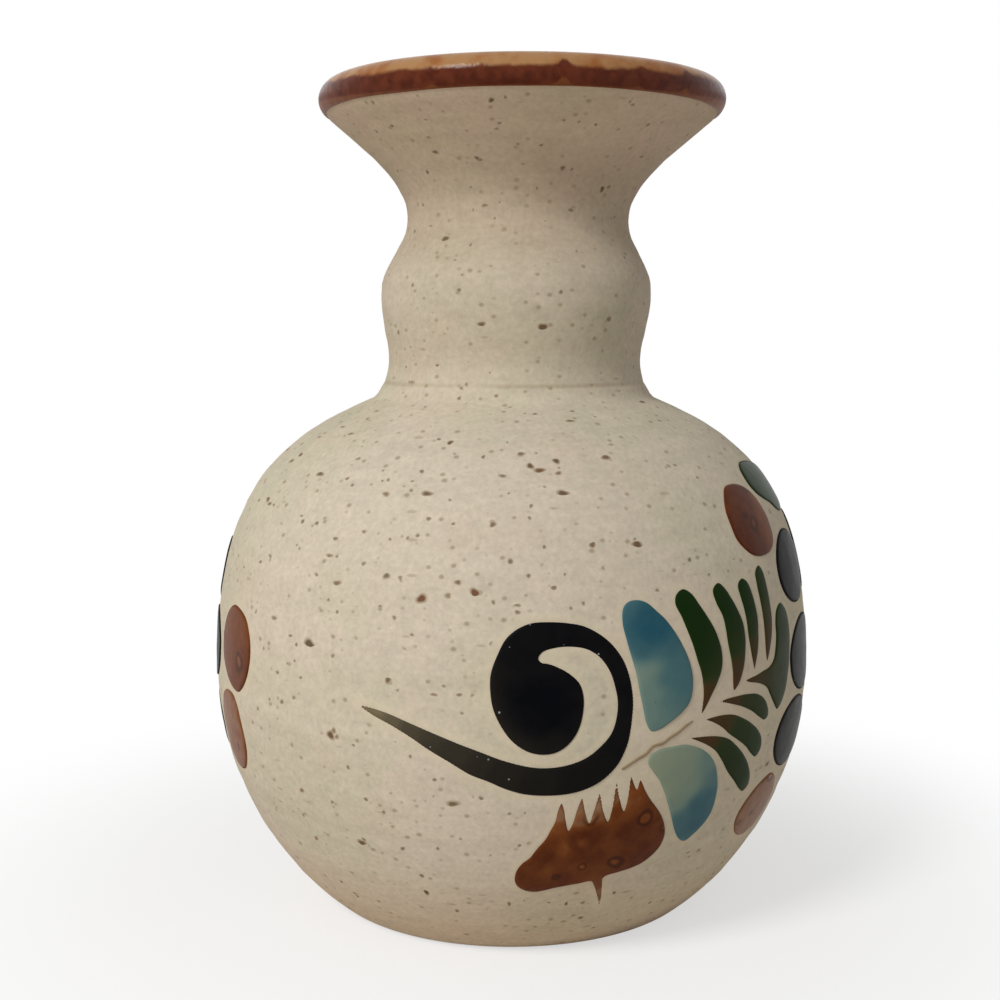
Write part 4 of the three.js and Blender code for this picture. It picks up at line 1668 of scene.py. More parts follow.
@dataclass
class Painting:
    """The painted spray, which the vase carries twice, half a turn apart."""

    scroll: Places = (
        (0.9, 57.6), (-0.8, 56.2), (-2.0, 53.9), (-2.8, 51.6), (-2.9, 49.4), (-2.5, 46.8), (-1.5, 44.5),
        (0.1, 42.3), (2.1, 40.9), (4.2, 40.4), (6.2, 40.7), (7.9, 41.9), (9.1, 43.7), (9.7, 45.9),
        (9.8, 48.1), (9.3, 49.9), (8.1, 51.2), (6.5, 52.2), (5.0, 52.8), (4.0, 53.0), (3.6, 53.6),
        (4.2, 54.4), (5.9, 54.9), (8.0, 55.0), (10.2, 54.6), (12.0, 53.5), (13.4, 51.6), (14.2, 49.4),
        (14.6, 47.1), (14.4, 44.9), (13.7, 42.9), (12.1, 41.1), (10.2, 39.7), (7.6, 38.8), (5.0, 38.5),
        (2.5, 38.7), (-1.3, 39.7), (-4.2, 40.8), (-7.0, 41.8), (-9.7, 42.8), (-12.5, 43.8), (-14.8, 44.6),
        (-16.9, 45.3), (-19.1, 45.8), (-21.8, 46.1), (-19.6, 44.9), (-16.9, 43.8), (-13.9, 42.3),
        (-11.1, 40.6), (-8.4, 39.1), (-5.7, 37.5), (-3.1, 36.5), (-0.9, 35.5), (1.7, 34.7), (4.6, 34.4),
        (7.8, 34.5), (10.7, 35.2), (13.0, 36.5), (14.9, 38.5), (16.1, 41.1), (16.7, 44.2), (16.9, 47.3),
        (16.5, 50.1), (15.6, 52.7), (14.0, 55.0), (12.1, 56.6), (10.0, 57.7), (7.7, 58.2), (5.1, 58.4),
        (2.8, 58.3),
    )
    scroll_tones: Tones = (
        (4.0, 47.0, 0.0), (4.0, 56.5, 0.04), (15.6, 50.0, 0.06), (15.2, 42.0, 0.08), (9.0, 36.8, 0.12),
        (3.0, 36.6, 0.2), (-1.0, 37.6, 0.3), (-4.5, 39.0, 0.36), (-8.0, 40.6, 0.42), (-11.0, 41.9, 0.5),
        (-14.0, 43.3, 0.64), (-16.6, 44.5, 0.76), (-19.0, 45.4, 0.9), (-21.5, 46.0, 1.0),
    )
    upper_blue: Places = (
        (15.8, 59.8), (16.6, 60.6), (18.1, 60.8), (19.6, 60.3), (20.9, 59.2), (22.4, 57.8), (23.8, 55.9),
        (25.0, 53.9), (25.9, 51.9), (26.5, 49.7), (26.5, 47.6), (25.9, 45.8), (24.6, 44.6), (22.9, 43.6),
        (21.0, 42.7), (19.7, 42.6), (18.9, 43.8), (18.4, 45.9), (17.9, 48.2), (17.4, 50.7), (16.8, 52.9),
        (16.1, 55.4), (15.6, 57.8),
    )
    upper_blue_tones: Tones = (
        (17.0, 60.2, 0.76), (18.7, 59.1, 0.92), (19.7, 56.3, 1.0), (22.0, 56.6, 0.94), (18.6, 53.6, 0.84),
        (23.2, 54.2, 0.8), (24.4, 51.8, 0.72), (17.8, 50.6, 0.2), (19.2, 51.2, 0.3), (21.8, 49.8, 0.68),
        (25.2, 48.4, 0.68), (19.8, 48.0, 0.36), (22.3, 46.8, 0.64), (20.2, 45.2, 0.4), (21.6, 44.0, 0.48),
    )
    lower_blue: Places = (
        (19.4, 38.1), (19.7, 39.2), (21.3, 39.9), (23.3, 40.0), (25.2, 40.0), (27.2, 39.4), (29.1, 38.4),
        (30.7, 37.0), (31.9, 35.0), (32.6, 32.6), (32.8, 30.4), (32.6, 28.1), (31.6, 26.3), (30.1, 24.8),
        (28.6, 23.9), (27.3, 24.5), (25.8, 26.4), (24.6, 28.8), (23.5, 31.2), (22.5, 33.3), (21.4, 35.3),
        (20.2, 36.8),
    )
    lower_blue_tones: Tones = (
        (20.5, 38.3, 0.0), (24.9, 39.0, 0.06), (26.5, 36.3, 0.1), (23.7, 34.2, 0.04), (27.0, 33.4, 0.14),
        (29.6, 37.0, 0.4), (31.1, 33.9, 0.55), (31.4, 31.0, 0.75), (25.2, 31.3, 0.16), (28.5, 30.4, 0.84),
        (31.0, 28.2, 0.8), (26.4, 28.6, 0.7), (29.2, 26.6, 0.86), (28.3, 24.8, 0.74),
    )
    stem: Tones = (
        (15.4, 37.6, 0.2), (17.6, 38.8, 0.22), (19.0, 39.5, 0.22), (20.0, 40.4, 0.2), (21.6, 40.7, 0.22),
        (22.6, 41.3, 0.22), (24.0, 41.9, 0.2), (25.2, 42.6, 0.2), (26.6, 43.2, 0.1),
    )
    upper_leaflets: tuple[Places, ...] = (
        (
            (25.8, 61.7), (24.5, 61.0), (24.2, 59.8), (25.1, 57.9), (25.9, 55.9), (26.7, 53.9),
            (27.4, 51.7), (28.1, 49.7), (28.4, 47.9), (28.4, 46.1), (28.1, 43.9), (29.0, 44.9),
            (30.0, 46.4), (31.1, 47.9), (32.0, 49.7), (32.2, 51.4), (31.9, 53.2), (31.1, 55.3),
            (29.9, 57.3), (28.5, 59.3), (27.2, 61.0),
        ),
        (
            (32.7, 61.9), (31.4, 61.0), (31.8, 59.1), (32.8, 57.2), (33.2, 55.2), (33.5, 53.0),
            (34.0, 50.8), (34.3, 48.8), (34.3, 47.6), (34.5, 46.3), (35.4, 46.9), (36.1, 47.8),
            (36.8, 49.3), (37.2, 51.4), (37.4, 53.5), (37.1, 55.7), (36.2, 57.7), (35.0, 59.6),
            (33.9, 61.1),
        ),
        (
            (38.2, 61.9), (37.0, 61.1), (37.2, 59.5), (37.7, 57.7), (38.0, 55.6), (38.2, 53.4),
            (38.6, 51.2), (39.0, 49.7), (39.4, 48.5), (39.9, 49.7), (40.4, 51.2), (40.7, 53.2),
            (40.9, 55.4), (40.7, 57.6), (40.2, 59.6), (39.4, 61.3),
        ),
        (
            (43.4, 63.2), (42.0, 62.3), (41.9, 60.4), (42.2, 58.1), (42.4, 56.0), (42.5, 53.8),
            (42.5, 51.6), (42.6, 50.2), (42.9, 49.1), (43.5, 50.0), (44.2, 51.7), (44.9, 54.0),
            (45.0, 56.2), (44.9, 58.5), (44.6, 60.7), (44.2, 62.5),
        ),
    )
    upper_tones: tuple[Tones, ...] = (
        graded((26.0, 61.0), (28.3, 44.2), (0.04, 0.0, 0.0, 0.04, 0.2, 0.9, 1.0)),
        graded((32.6, 61.4), (34.8, 46.6), (0.04, 0.0, 0.1, 0.3, 0.8, 1.0)),
        graded((38.2, 61.4), (39.5, 48.8), (0.04, 0.06, 0.3, 0.7, 1.0)),
        graded((43.2, 62.8), (43.0, 49.4), (0.3, 0.35, 0.6, 0.8, 1.0)),
    )
    lower_leaflets: tuple[Places, ...] = (
        (
            (31.2, 45.2), (33.4, 45.4), (35.3, 45.4), (37.4, 45.3), (40.2, 44.8), (42.1, 43.7),
            (43.1, 42.3), (43.3, 41.0), (42.4, 40.5), (40.7, 41.3), (38.6, 42.6), (35.9, 43.8),
            (33.4, 44.6),
        ),
        (
            (28.8, 43.0), (31.2, 43.2), (34.2, 42.9), (36.5, 42.0), (38.7, 40.8), (40.9, 39.2),
            (42.0, 37.8), (42.2, 36.2), (41.1, 35.1), (39.6, 35.9), (37.9, 37.4), (35.8, 38.8),
            (33.6, 40.2), (32.2, 41.3), (30.3, 42.4),
        ),
        (
            (25.9, 40.8), (28.1, 40.7), (31.4, 40.2), (33.7, 39.4), (35.9, 37.8), (37.9, 36.0),
            (39.5, 34.1), (40.5, 32.1), (40.6, 30.7), (39.5, 29.9), (38.1, 30.7), (36.6, 32.1),
            (34.4, 34.2), (32.8, 36.2), (31.2, 38.0), (29.4, 39.2), (27.6, 40.1),
        ),
    )
    lower_tones: tuple[Tones, ...] = (
        graded((31.5, 45.2), (42.4, 41.4), (1.0, 0.9, 0.5, 0.36, 0.4)),
        graded((29.0, 43.0), (41.4, 35.8), (1.0, 0.8, 0.4, 0.3, 0.4)),
        graded((26.2, 40.7), (39.8, 30.8), (1.0, 0.9, 0.4, 0.25, 0.25, 0.4)),
    )
    fern_tip: Places = (
        (37.2, 47.3), (38.3, 47.5), (39.6, 47.6), (41.6, 47.9), (43.6, 48.2), (44.9, 49.0), (45.6, 50.7),
        (46.0, 52.5), (46.1, 54.4), (46.7, 56.0), (48.6, 56.9), (50.3, 55.5), (51.0, 53.4), (51.0, 50.8),
        (50.6, 48.0), (49.9, 45.8), (49.1, 43.9), (47.7, 42.2), (46.2, 41.3), (45.0, 42.4), (43.8, 43.9),
        (42.8, 45.2), (41.1, 46.1), (39.3, 46.6), (38.0, 46.9),
    )
    fern_tip_tones: Tones = (
        (37.4, 47.2, 1.0), (40.0, 47.2, 0.8), (43.6, 47.0, 0.6), (48.4, 56.4, 0.4), (48.6, 53.0, 0.3),
        (48.4, 49.4, 0.4), (47.6, 46.2, 0.45), (46.6, 42.6, 0.5),
    )
    pod: Places = (
        (0.5, 19.9), (0.8, 21.9), (1.7, 23.3), (2.7, 24.2), (3.8, 25.9), (4.9, 27.4), (5.6, 28.9),
        (6.2, 30.3), (6.5, 32.0), (7.0, 33.2), (7.4, 32.2), (7.7, 30.5), (8.2, 28.7), (8.8, 29.9),
        (9.2, 31.8), (9.9, 33.8), (10.4, 31.8), (11.2, 29.7), (11.7, 31.5), (12.4, 34.4), (13.1, 31.6),
        (14.0, 29.7), (14.4, 31.4), (14.8, 35.9), (15.4, 33.4), (16.3, 31.1), (16.7, 33.0), (16.9, 36.7),
        (17.4, 35.4), (18.0, 34.3), (18.4, 35.7), (19.4, 33.9), (20.4, 32.4), (21.5, 31.1), (22.7, 29.5),
        (23.7, 27.5), (24.1, 25.9), (23.8, 24.0), (22.8, 22.6), (21.3, 21.4), (19.5, 20.7), (17.1, 20.2),
        (15.0, 19.6), (15.2, 17.3), (15.7, 14.9), (15.9, 12.8), (14.7, 15.6), (13.7, 17.8), (12.9, 19.0),
        (10.8, 18.8), (8.6, 18.5), (6.8, 18.2), (5.4, 17.8), (3.6, 17.5), (2.1, 17.9), (1.0, 18.7),
    )
    pod_tones: Tones = (
        (1.2, 20.6, 0.1), (3.6, 22.6, 0.12), (5.4, 21.8, 0.4), (4.6, 18.8, 0.08), (5.7, 24.7, 0.0),
        (7.7, 26.6, 0.6), (7.9, 25.7, 0.55), (6.4, 26.9, 0.2), (8.9, 27.2, 0.0), (7.4, 23.4, 0.2),
        (8.6, 20.4, 0.1), (10.0, 21.6, 0.26), (11.2, 28.0, 0.0), (10.4, 26.6, 0.62), (9.3, 26.3, 0.0),
        (11.6, 26.8, 0.0), (10.4, 27.9, 0.0), (10.3, 25.3, 0.0), (9.4, 25.4, 0.05), (12.5, 28.6, 0.1),
        (12.6, 24.4, 0.1), (15.0, 26.0, 0.32), (16.8, 27.4, 0.0), (19.3, 28.6, 0.1), (22.2, 26.4, 0.16),
        (20.8, 23.8, 0.05), (17.6, 22.6, 0.1), (15.4, 21.4, 0.24), (14.0, 18.6, 0.4), (15.3, 15.6, 0.85),
        (6.9, 31.6, 0.8), (7.0, 29.2, 0.5), (9.9, 32.4, 0.9), (10.0, 30.2, 0.7), (12.4, 32.6, 0.9),
        (12.4, 30.6, 0.7), (14.8, 34.0, 0.7), (15.0, 31.2, 0.3), (17.0, 35.0, 0.5), (17.6, 32.6, 0.55),
        (18.6, 34.6, 0.4), (20.2, 31.2, 0.2),
    )
    flower_centre: tuple[float, ...] = (72.6, 48.0, 4.6, 4.6, 0.0)
    petals: tuple[tuple[float, ...], ...] = (
        (57.3, 61.4, 7.8, 5.7, 4.0, 0.03), (59.2, 47.6, 8.0, 5.9, 0.0, 0.03),
        (54.6, 36.0, 7.9, 5.5, 0.0, 0.2), (71.6, 33.0, 7.8, 4.7, 90.0, 0.03),
        (81.2, 35.2, 5.6, 3.6, -56.0, 0.03), (84.4, 48.0, 6.5, 5.6, 0.0, 0.03),
        (80.6, 59.2, 5.9, 3.2, 62.0, 0.03), (70.6, 62.2, 6.8, 4.2, 94.0, 0.03),
    )
    berries: tuple[Places, ...] = (
        (
            (42.1, 75.6), (44.5, 76.0), (46.9, 75.8), (49.0, 75.0), (50.6, 73.6), (51.5, 71.9),
            (51.9, 70.2), (51.8, 68.6), (51.4, 67.0), (50.5, 65.7), (48.8, 64.8), (46.5, 64.4),
            (43.8, 64.5), (41.9, 65.1), (40.4, 66.2), (39.3, 67.6), (39.0, 69.7), (39.1, 71.7),
            (40.1, 73.7),
        ),
        (
            (48.2, 30.7), (44.6, 30.0), (42.5, 28.8), (41.0, 27.2), (40.3, 25.6), (40.5, 23.9),
            (41.7, 22.2), (43.9, 20.8), (46.9, 20.3), (50.0, 21.1), (52.2, 23.2), (52.8, 26.0),
            (51.2, 28.9),
        ),
        (
            (98.1, 56.0), (101.4, 55.6), (103.4, 54.6), (104.7, 53.0), (105.4, 51.2), (105.4, 49.0),
            (104.7, 46.6), (103.1, 44.4), (101.3, 43.3), (98.9, 43.6), (96.3, 44.9), (94.3, 47.1),
            (93.6, 49.7), (94.1, 52.2), (95.5, 54.6),
        ),
        (
            (94.4, 42.1), (97.0, 42.7), (99.2, 42.3), (100.5, 41.1), (101.3, 39.3), (101.9, 37.4),
            (102.1, 35.3), (101.5, 33.0), (99.3, 30.7), (96.2, 30.2), (93.7, 31.6), (92.4, 34.4),
            (92.1, 37.6), (92.7, 40.4),
        ),
    )
    berry_tones: tuple[Tones, ...] = (
        (
            (42.6, 73.0, 0.1), (47.0, 72.6, 0.05), (44.6, 69.4, 0.0), (44.0, 66.4, 0.0), (49.6, 69.0, 0.4),
            (50.6, 71.6, 0.5),
        ),
        ((42.4, 25.4, 0.8), (48.0, 25.6, 0.7)),
        ((101.4, 53.0, 0.36), (102.0, 48.0, 0.2), (96.4, 48.0, 0.3)),
        ((98.0, 40.0, 0.66), (98.6, 34.0, 0.56)),
    )
    side_leaf: Places = (
        (51.5, 75.4), (52.4, 77.8), (54.8, 79.1), (59.0, 79.2), (64.8, 78.5), (70.0, 77.3), (75.2, 75.6),
        (76.2, 74.2), (72.0, 71.7), (67.0, 70.1), (62.5, 69.5), (59.6, 70.2), (57.6, 71.4), (55.0, 72.4),
        (52.7, 73.6),
    )
    side_leaf_tones: Tones = graded((53.0, 76.0), (74.0, 74.4), (0.1, 0.05, 0.1, 0.3))
    dabs: list[Dab] = field(default_factory=list)

    def __post_init__(self) -> None:
        """Draws every dab of the spray once."""
        self.draw("scroll", Paint.BLUE_BLACK, loop(self.scroll), self.scroll_tones)
        self.draw("blue_leaf_upper", Paint.SEA_BLUE, loop(self.upper_blue), self.upper_blue_tones)
        self.draw("blue_leaf_lower", Paint.SEA_BLUE, loop(self.lower_blue), self.lower_blue_tones)
        self.draw("fern_stem", Paint.STEM, brush(self.stem), ((20.0, 40.0, 0.4),))
        self.draw_set("fern_upper", Paint.LEAF_GREEN, self.upper_leaflets, self.upper_tones)
        self.draw_set("fern_lower", Paint.LEAF_GREEN, self.lower_leaflets, self.lower_tones)
        self.draw("fern_tip", Paint.LEAF_GREEN, loop(self.fern_tip), self.fern_tip_tones)
        self.draw("seed_pod", Paint.RUST, loop(self.pod), self.pod_tones)
        self.draw("flower_centre", Paint.RUST, oval(*self.flower_centre), ((72.6, 48.0, 0.3),))
        for number, (*petal, tone) in enumerate(self.petals, 1):
            outline = oval(*petal)
            self.draw(f"petal_{number}", Paint.BLUE_BLACK, outline, ((petal[0], petal[1], tone),))
        self.draw_set("berry", Paint.RUST, self.berries, self.berry_tones)
        self.draw("side_leaf", Paint.LEAF_GREEN, loop(self.side_leaf), self.side_leaf_tones)

    def draw_set(
        self, name: str, paint: Paint, shapes: tuple[Places, ...], tones: tuple[Tones, ...]
    ) -> None:
        """Adds numbered dabs of one glaze, each from the points of its outline and its tones."""
        for number, (points, own_tones) in enumerate(zip(shapes, tones, strict=True), 1):
            self.draw(f"{name}_{number}", paint, loop(points), own_tones)

    def draw(self, name: str, paint: Paint, outline: np.ndarray, tones: Tones) -> None:
        """Adds one dab."""
        self.dabs.append(Dab(name, paint, outline, tones))

    def distances(self, around: np.ndarray, up: np.ndarray) -> np.ndarray:
        """Signed distance of points on the outside from the nearest dab.

        Args:
            around: Places round the belly.
            up: Places up the outside.

        Returns:
            Distances up to 4 mm, below 0 under a dab.
        """
        result = np.full(len(around), PAINT_FAR)
        for dab in self.dabs:
            for shift in SHIFTS.values():
                close, gap = dab.gap(around - shift, up)
                result[close] = np.minimum(result[close], gap)
        return result

    def build(self, clay: ClayBody) -> None:
        """Lays both copies of every dab on the vase and dresses them.

        Args:
            clay: The clay that they lie on.
        """
        finishes = {paint: paint.value.material() for paint in Paint}
        for dab in self.dabs:
            dab.prepare()
            for prefix, shift in SHIFTS.items():
                piece = dab.build(prefix, shift, clay)
                place(piece, finishes[dab.paint], dab.paint.value.slot, f"{prefix}_{dab.name}")


SPECKS = (
    (-30.7, 53.5, 0.99, 0.73, 0.0), (-34.7, 54.1, 0.42, 0.28, 0.2), (-38.8, 56.1, 0.58, 0.34, 0.0),
    (-26.2, 52.4, 0.34, 0.28, 0.1), (-22.6, 65.5, 0.35, 0.3, 0.1), (-18.5, 64.1, 0.51, 0.47, 0.0),
    (-12.8, 61.3, 0.71, 0.67, 0.9), (-5.2, 62.3, 0.68, 0.67, 0.9), (-7.7, 63.7, 0.44, 0.43, 0.7),
    (-16.7, 58.5, 0.32, 0.3, 0.2), (-17.2, 50.0, 0.53, 0.49, 0.2), (5.9, 63.0, 0.41, 0.4, 0.5),
    (-9.2, 49.7, 0.25, 0.24, 0.2), (-6.7, 46.1, 0.24, 0.25, 0.2), (-49.8, 72.1, 0.66, 0.39, 0.0),
    (-48.0, 72.1, 0.46, 0.27, 0.1), (-53.7, 79.7, 0.73, 0.43, 0.2), (-49.1, 76.0, 0.46, 0.27, 0.1),
    (-53.1, 85.3, 0.53, 0.31, 0.2), (-48.7, 88.4, 0.54, 0.32, 0.2), (-41.7, 87.0, 0.61, 0.36, 0.1),
    (-44.9, 93.6, 0.51, 0.3, 0.2), (-31.7, 78.0, 0.39, 0.31, 0.2), (-22.7, 78.3, 0.29, 0.29, 0.2),
    (-39.4, 78.3, 0.8, 0.49, 0.1), (-32.3, 81.8, 0.4, 0.33, 0.2), (-13.5, 86.1, 0.47, 0.56, 0.2),
    (-5.8, 83.2, 0.28, 0.41, 0.2), (3.1, 81.4, 0.54, 0.58, 0.2), (8.1, 82.3, 0.51, 0.59, 0.1),
    (2.9, 74.6, 0.27, 0.31, 0.2), (2.6, 72.8, 0.27, 0.3, 0.2), (-9.2, 71.8, 0.28, 0.29, 0.2),
    (-23.8, 70.0, 0.33, 0.29, 0.2), (-28.9, 68.6, 0.44, 0.34, 0.2), (-19.0, 69.2, 0.28, 0.25, 0.2),
    (-16.1, 69.5, 0.27, 0.26, 0.2), (-29.1, 66.1, 0.58, 0.34, 0.1), (-27.7, 66.1, 0.32, 0.25, 0.1),
    (-45.2, 63.5, 0.49, 0.29, 0.2), (-42.7, 64.7, 0.44, 0.26, 0.2), (-17.5, 76.7, 0.3, 0.32, 0.2),
    (-14.5, 76.3, 0.8, 0.51, 0.1), (-2.6, 61.1, 0.29, 0.29, 0.2), (-5.9, 98.7, 0.3, 0.33, 0.1),
    (-16.8, 100.5, 0.29, 0.28, 0.2), (-18.4, 99.9, 0.29, 0.28, 0.2), (-40.6, 100.6, 0.53, 0.31, 0.1),
    (-37.3, 48.4, 0.45, 0.29, 0.2), (-32.2, 48.5, 0.35, 0.26, 0.2), (-33.6, 45.4, 0.41, 0.29, 0.2),
    (-19.0, 59.9, 0.27, 0.24, 0.2), (-26.1, 58.5, 0.31, 0.25, 0.2), (-27.9, 60.0, 0.32, 0.25, 0.2),
    (-7.2, 146.1, 0.47, 0.54, 0.1), (-28.5, 137.1, 0.61, 0.47, 0.1), (-14.4, 135.6, 0.52, 0.45, 0.1),
    (18.6, 133.7, 0.27, 0.39, 0.1), (46.1, 137.0, 0.56, 0.33, 0.1), (-19.1, 130.8, 0.32, 0.31, 0.2),
    (6.7, 130.5, 0.3, 0.31, 0.2), (-7.7, 128.4, 0.27, 0.26, 0.2), (-13.8, 128.0, 0.57, 0.38, 0.1),
    (21.8, 127.4, 0.57, 0.41, 0.1), (-9.6, 126.1, 0.27, 0.27, 0.2), (-40.3, 125.3, 0.48, 0.3, 0.2),
    (36.7, 142.8, 0.49, 0.34, 0.2), (26.0, 146.6, 0.32, 0.29, 0.2), (15.1, 142.3, 0.27, 0.31, 0.2),
    (-0.9, 138.0, 0.26, 0.33, 0.2), (0.9, 134.4, 0.26, 0.31, 0.2), (47.5, 126.8, 0.46, 0.27, 0.2),
    (10.9, 142.5, 0.27, 0.32, 0.2), (-3.9, 146.6, 0.28, 0.36, 0.2), (9.1, 109.1, 0.7, 0.69, 0.2),
    (10.0, 60.8, 0.28, 0.27, 0.2), (8.2, 60.2, 0.27, 0.27, 0.2), (21.4, 61.9, 0.29, 0.25, 0.2),
    (12.9, 57.9, 0.2, 0.19, 0.2), (-4.2, 34.0, 0.35, 0.39, 0.2), (22.5, 21.1, 0.33, 0.37, 0.2),
    (9.5, 14.3, 0.29, 0.47, 0.2), (-0.4, 14.8, 0.28, 0.48, 0.2), (17.9, 15.6, 0.31, 0.43, 0.2),
    (27.6, 10.8, 0.33, 0.39, 0.2), (-26.5, 41.2, 0.72, 0.61, 0.4), (-25.9, 41.9, 0.44, 0.37, 0.3),
    (-25.4, 41.1, 0.37, 0.32, 0.5), (-14.5, 16.4, 0.45, 0.65, 0.1), (-14.0, 39.6, 0.29, 0.29, 0.2),
    (49.4, 96.6, 0.8, 0.5, 0.1),
)


@dataclass
class IronSpecks:
    """The larger iron specks, which stand a hair above the clay.

    Attributes:
        placed: Place round and up, half width, half height and rustiness of those set by hand.
        scattered: How many more are scattered.
        smallest: Least half height.
        largest: Greatest half height of a scattered speck.
        darkest: Half height from which a speck is at its darkest.
        faintest: Strength of the smallest specks.
        bleed: How far the iron has spread.
        widths: Least and greatest half width, as shares of the half height.
        lobes: Waves in a speck's outline, each with its depth.
        rings: Size, height and darkness of each ring, as shares.
    """
    # placed: Place round and up, half width, half height and rustiness of those listed.

    placed: tuple[tuple[float, ...], ...] = SPECKS
    scattered: int = 340
    smallest: float = 0.2
    largest: float = 0.6
    darkest: float = 0.7
    faintest: float = 0.45
    seed: int = 11
    sides: int = 14
    height: float = 0.02
    bleed: float = 1.15
    sole: float = 0.08
    end_gap: float = 4.0
    paint_gap: float = 1.4
    widths: Band = (0.8, 1.7)
    rustiness: Band = (0.1, 0.8)
    lobes: tuple[Band, ...] = ((2.0, 0.14), (3.0, 0.1))
    rings: Tones = ((1.0, 0.0, 0.0), (0.75, 0.5, 0.35), (0.45, 0.9, 0.9))

    def build(self, painting: Painting, clay: ClayBody) -> bpy.types.Object:
        """Scatters the specks clear of the painting.

        Args:
            painting: The painting.
            clay: The clay, whose marks the specks follow.

        Returns:
            The piece.
        """
        chance = random.Random(self.seed)
        rows = list(self.placed)
        turn = 2 * math.pi * OUTSIDE.belly_radius
        while len(rows) < len(self.placed) + self.scattered:
            around = chance.uniform(-turn / 2, turn / 2)
            up = chance.uniform(self.end_gap, OUTSIDE.length - self.end_gap)
            if chance.random() > OUTSIDE.narrowing(np.array([up]))[0]:
                continue
            size = self.smallest + (self.largest - self.smallest) * chance.random() ** 3
            wide = size * chance.uniform(*self.widths)
            rows.append((around, up, wide, size, chance.uniform(*self.rustiness)))
        gaps = painting.distances(*np.array(rows)[:, :2].T)
        points, faces, tones, cores, ups = [], [], [], [], []
        for row, gap in zip(rows, gaps, strict=True):
            if gap < self.paint_gap + row[2]:
                continue
            self.fleck(row, chance, points, faces)
            tones.extend([row[4]] * len(points[-1]))
            ups.extend([row[1]] * len(points[-1]))
            strength = self.strength(row[3])
            cores.extend(core * strength for _, _, core in self.rings for _ in range(self.sides))
            cores.extend((strength, 0.0))
        places = np.vstack(points)
        places += clay.marks(places, np.array(ups), np.full(len(ups), PAINT_FAR))
        piece = piece_from("iron_specks", places, faces)
        note(piece, "tone", np.array(tones))
        note(piece, "core", np.array(cores))
        shade_smooth(piece)
        return piece

    def strength(self, high: float) -> float:
        """How dark a speck of a half height is, since small ones are faint."""
        share = (high - self.smallest) / (self.darkest - self.smallest)
        return self.faintest + (1.0 - self.faintest) * min(max(share, 0.0), 1.0) ** 1.5

    def fleck(
        self,
        row: tuple[float, ...],
        chance: random.Random,
        points: list[np.ndarray],
        faces: list[tuple[int, ...]],
    ) -> None:
        """Adds one speck: an uneven low dome with a closed underside.

        Args:
            row: Place round and up, half width, half height, and how rusty it is.
            chance: Source of the random shape.
            points: Rows of points so far, which grow.
            faces: Faces so far, which grow.
        """
        around, up, wide, high, _ = row
        first = sum(len(block) for block in points)
        angles = np.linspace(0.0, 2 * math.pi, self.sides, endpoint=False)
        uneven = np.ones(self.sides)
        for count, depth in self.lobes:
            uneven += depth * np.cos(count * angles + chance.uniform(0.0, 2.0 * math.pi))
        uneven *= self.bleed
        shape = np.stack([np.cos(angles) * wide, np.sin(angles) * high], axis=1) * uneven[:, None]
        shape[:, 0] /= OUTSIDE.narrowing(np.array([up]))[0]
        flat = np.vstack([shape * share for share, _, _ in self.rings] + [np.zeros((2, 2))])
        rises = np.repeat([self.height * rise for _, rise, _ in self.rings], self.sides)
        lift = np.concatenate([rises, [self.height, -self.sole]])
        points.append(OUTSIDE.laid(around + flat[:, 0], up + flat[:, 1], lift))
        n = self.sides
        top = first + len(self.rings) * n
        for i in range(n):
            j = (i + 1) % n
            for ring in range(len(self.rings) - 1):
                low, high_ring = first + ring * n, first + (ring + 1) * n
                faces.append((low + i, low + j, high_ring + j, high_ring + i))
            faces.append((top - n + i, top - n + j, top))
            faces.append((first + j, first + i, top + 1))


# Studio


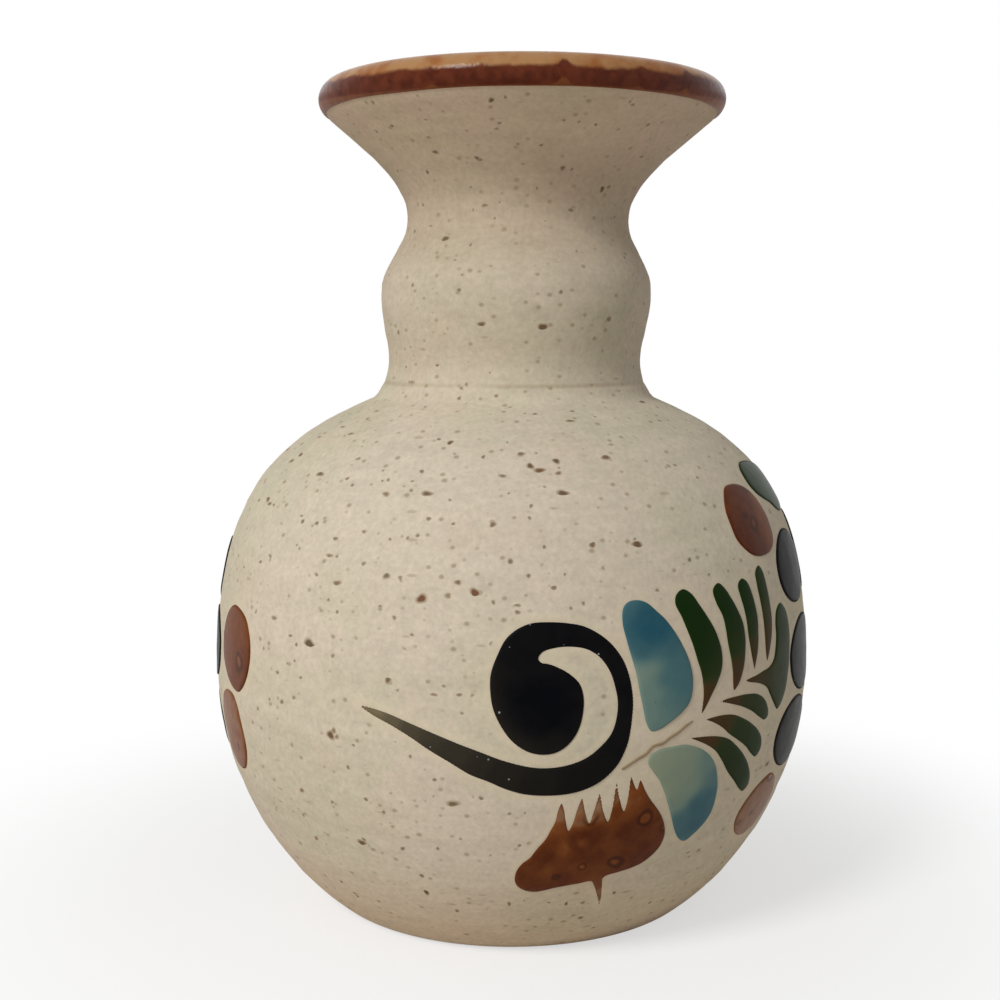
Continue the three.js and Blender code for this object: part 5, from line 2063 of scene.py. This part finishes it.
@dataclass
class Studio:
    """Pale floor, soft light and the camera at the photograph's angle.

    Attributes:
        camera_back: Distance of the camera in front of the axis, in metres.
        camera_height: Height of the camera in metres.
        pitch: How far it looks down, in degrees.
        lens: Its focal length in millimetres.
        shift: How far its picture is shifted sideways.
        ambient: Strength of the surround as a light.
        floor_seen: Colour of the floor in the picture.
        floor_bounce: Colour of the floor as it lights the vase.
        floor_white: Share of plain white in the floor under the vase.
        fade: Distances in metres over which the floor turns all white.
        lamp_place: Place of the lamp in metres.
        lamp_aim: Height that it looks at, in metres.
        lamp_size: Width of the lamp in metres.
        lamp_watts: Power of the lamp.
        lamp_colour: Colour of its light.
    """

    camera_back: float = 0.2401
    camera_height: float = 0.0926
    pitch: float = 6.86
    lens: float = 53.04
    shift: float = -0.0115
    ambient: float = 0.35
    floor_seen: tuple[float, ...] = (0.96, 0.96, 0.955, 1.0)
    floor_bounce: tuple[float, ...] = (0.76, 0.7, 0.66, 1.0)
    floor_white: float = 0.6
    fade: Band = (0.045, 0.13)
    lamp_place: tuple[float, float, float] = (-0.52, -0.66, 0.7)
    lamp_aim: float = 0.06
    lamp_size: float = 0.34
    lamp_watts: float = 6.9
    lamp_colour: tuple[float, float, float] = (1.0, 0.99, 0.98)

    def camera(self) -> None:
        """Adds the camera."""
        data = bpy.data.cameras.new("camera")
        data.lens = self.lens
        data.sensor_width = 36.0
        data.shift_x = self.shift
        data.dof.use_dof = False
        data.clip_start = 0.01
        camera = bpy.data.objects.new("camera", data)
        camera.location = (0.0, -self.camera_back, self.camera_height)
        camera.rotation_euler = (math.radians(90.0 - self.pitch), 0.0, 0.0)
        bpy.context.scene.collection.objects.link(camera)
        bpy.context.scene.camera = camera

    def lamp(self) -> None:
        """Adds the area lamp, high on the left, that looks at the vase."""
        data = bpy.data.lights.new("key", "AREA")
        data.shape = "DISK"
        data.size = self.lamp_size
        data.energy = self.lamp_watts
        data.color = self.lamp_colour
        lamp = bpy.data.objects.new("key", data)
        lamp.location = self.lamp_place
        look = Vector((0.0, 0.0, self.lamp_aim)) - Vector(self.lamp_place)
        lamp.rotation_euler = look.to_track_quat("-Z", "Y").to_euler()
        bpy.context.scene.collection.objects.link(lamp)

    def world(self) -> None:
        """Adds a white surround that lights the vase at a plain level."""
        board = Board("studio", "worlds")
        values = {"Value": board.looked_at(), "To Min": self.ambient, "To Max": 1.0}
        strength = board.add("ShaderNodeMapRange", None, values)
        background = board.add("ShaderNodeBackground", None, {"Color": WHITE, "Strength": strength})
        board.add("ShaderNodeOutputWorld", None, {"Surface": background})
        bpy.context.scene.world = board.holder

    def floor(self) -> None:
        """Adds a pale floor that keeps the vase's shadow and fades into the white surround."""
        deselect_all()
        bpy.ops.mesh.primitive_circle_add(vertices=96, radius=3.0, fill_type="NGON", location=(0.0, 0.0, 0.0))
        floor = bpy.context.active_object
        floor.name = "floor"
        board = Board("pale_floor")
        away = board.vector("LENGTH", {0: board.object_place}, "Value")
        seen = board.looked_at()
        lighting = board.add("ShaderNodeBsdfDiffuse", None, {"Color": self.floor_bounce})
        shown = board.add("ShaderNodeBsdfDiffuse", None, {"Color": self.floor_seen})
        plain = board.add("ShaderNodeMixShader", None, {0: seen, 1: lighting, 2: shown})
        white = board.add("ShaderNodeEmission", None, {"Color": WHITE, "Strength": 1.0})
        share = (self.floor_white + away.step(*self.fade) * (1.0 - self.floor_white)) * seen
        mixed = board.add("ShaderNodeMixShader", None, {0: share, 1: plain, 2: white})
        board.add("ShaderNodeOutputMaterial", None, {"Surface": mixed})
        floor.data.materials.append(board.holder)

    def build(self) -> None:
        """Sets up camera, lamp, surround and floor."""
        self.camera()
        self.lamp()
        self.world()
        self.floor()
        bpy.context.scene.view_settings.view_transform = "Standard"


def main() -> None:
    """Builds the studio, the clay, its coats and the painting."""
    logging.basicConfig(level=logging.INFO, format="%(name)s: %(message)s")
    Studio().build()
    painting = Painting()
    clay = ClayBody()
    place(clay.build(painting), Stoneware().material(), "stoneware", "vase_body")
    place(LipGlaze().build(clay), LipBrown().material(), "rim_glaze", "rim_glaze")
    place(LinerGlaze().build(clay), LinerBrown().material(), "liner_glaze", "liner_glaze")
    painting.build(clay)
    place(IronSpecks().build(painting, clay), IronSpot().material(), "stoneware")


if __name__ == "__main__":
    main()
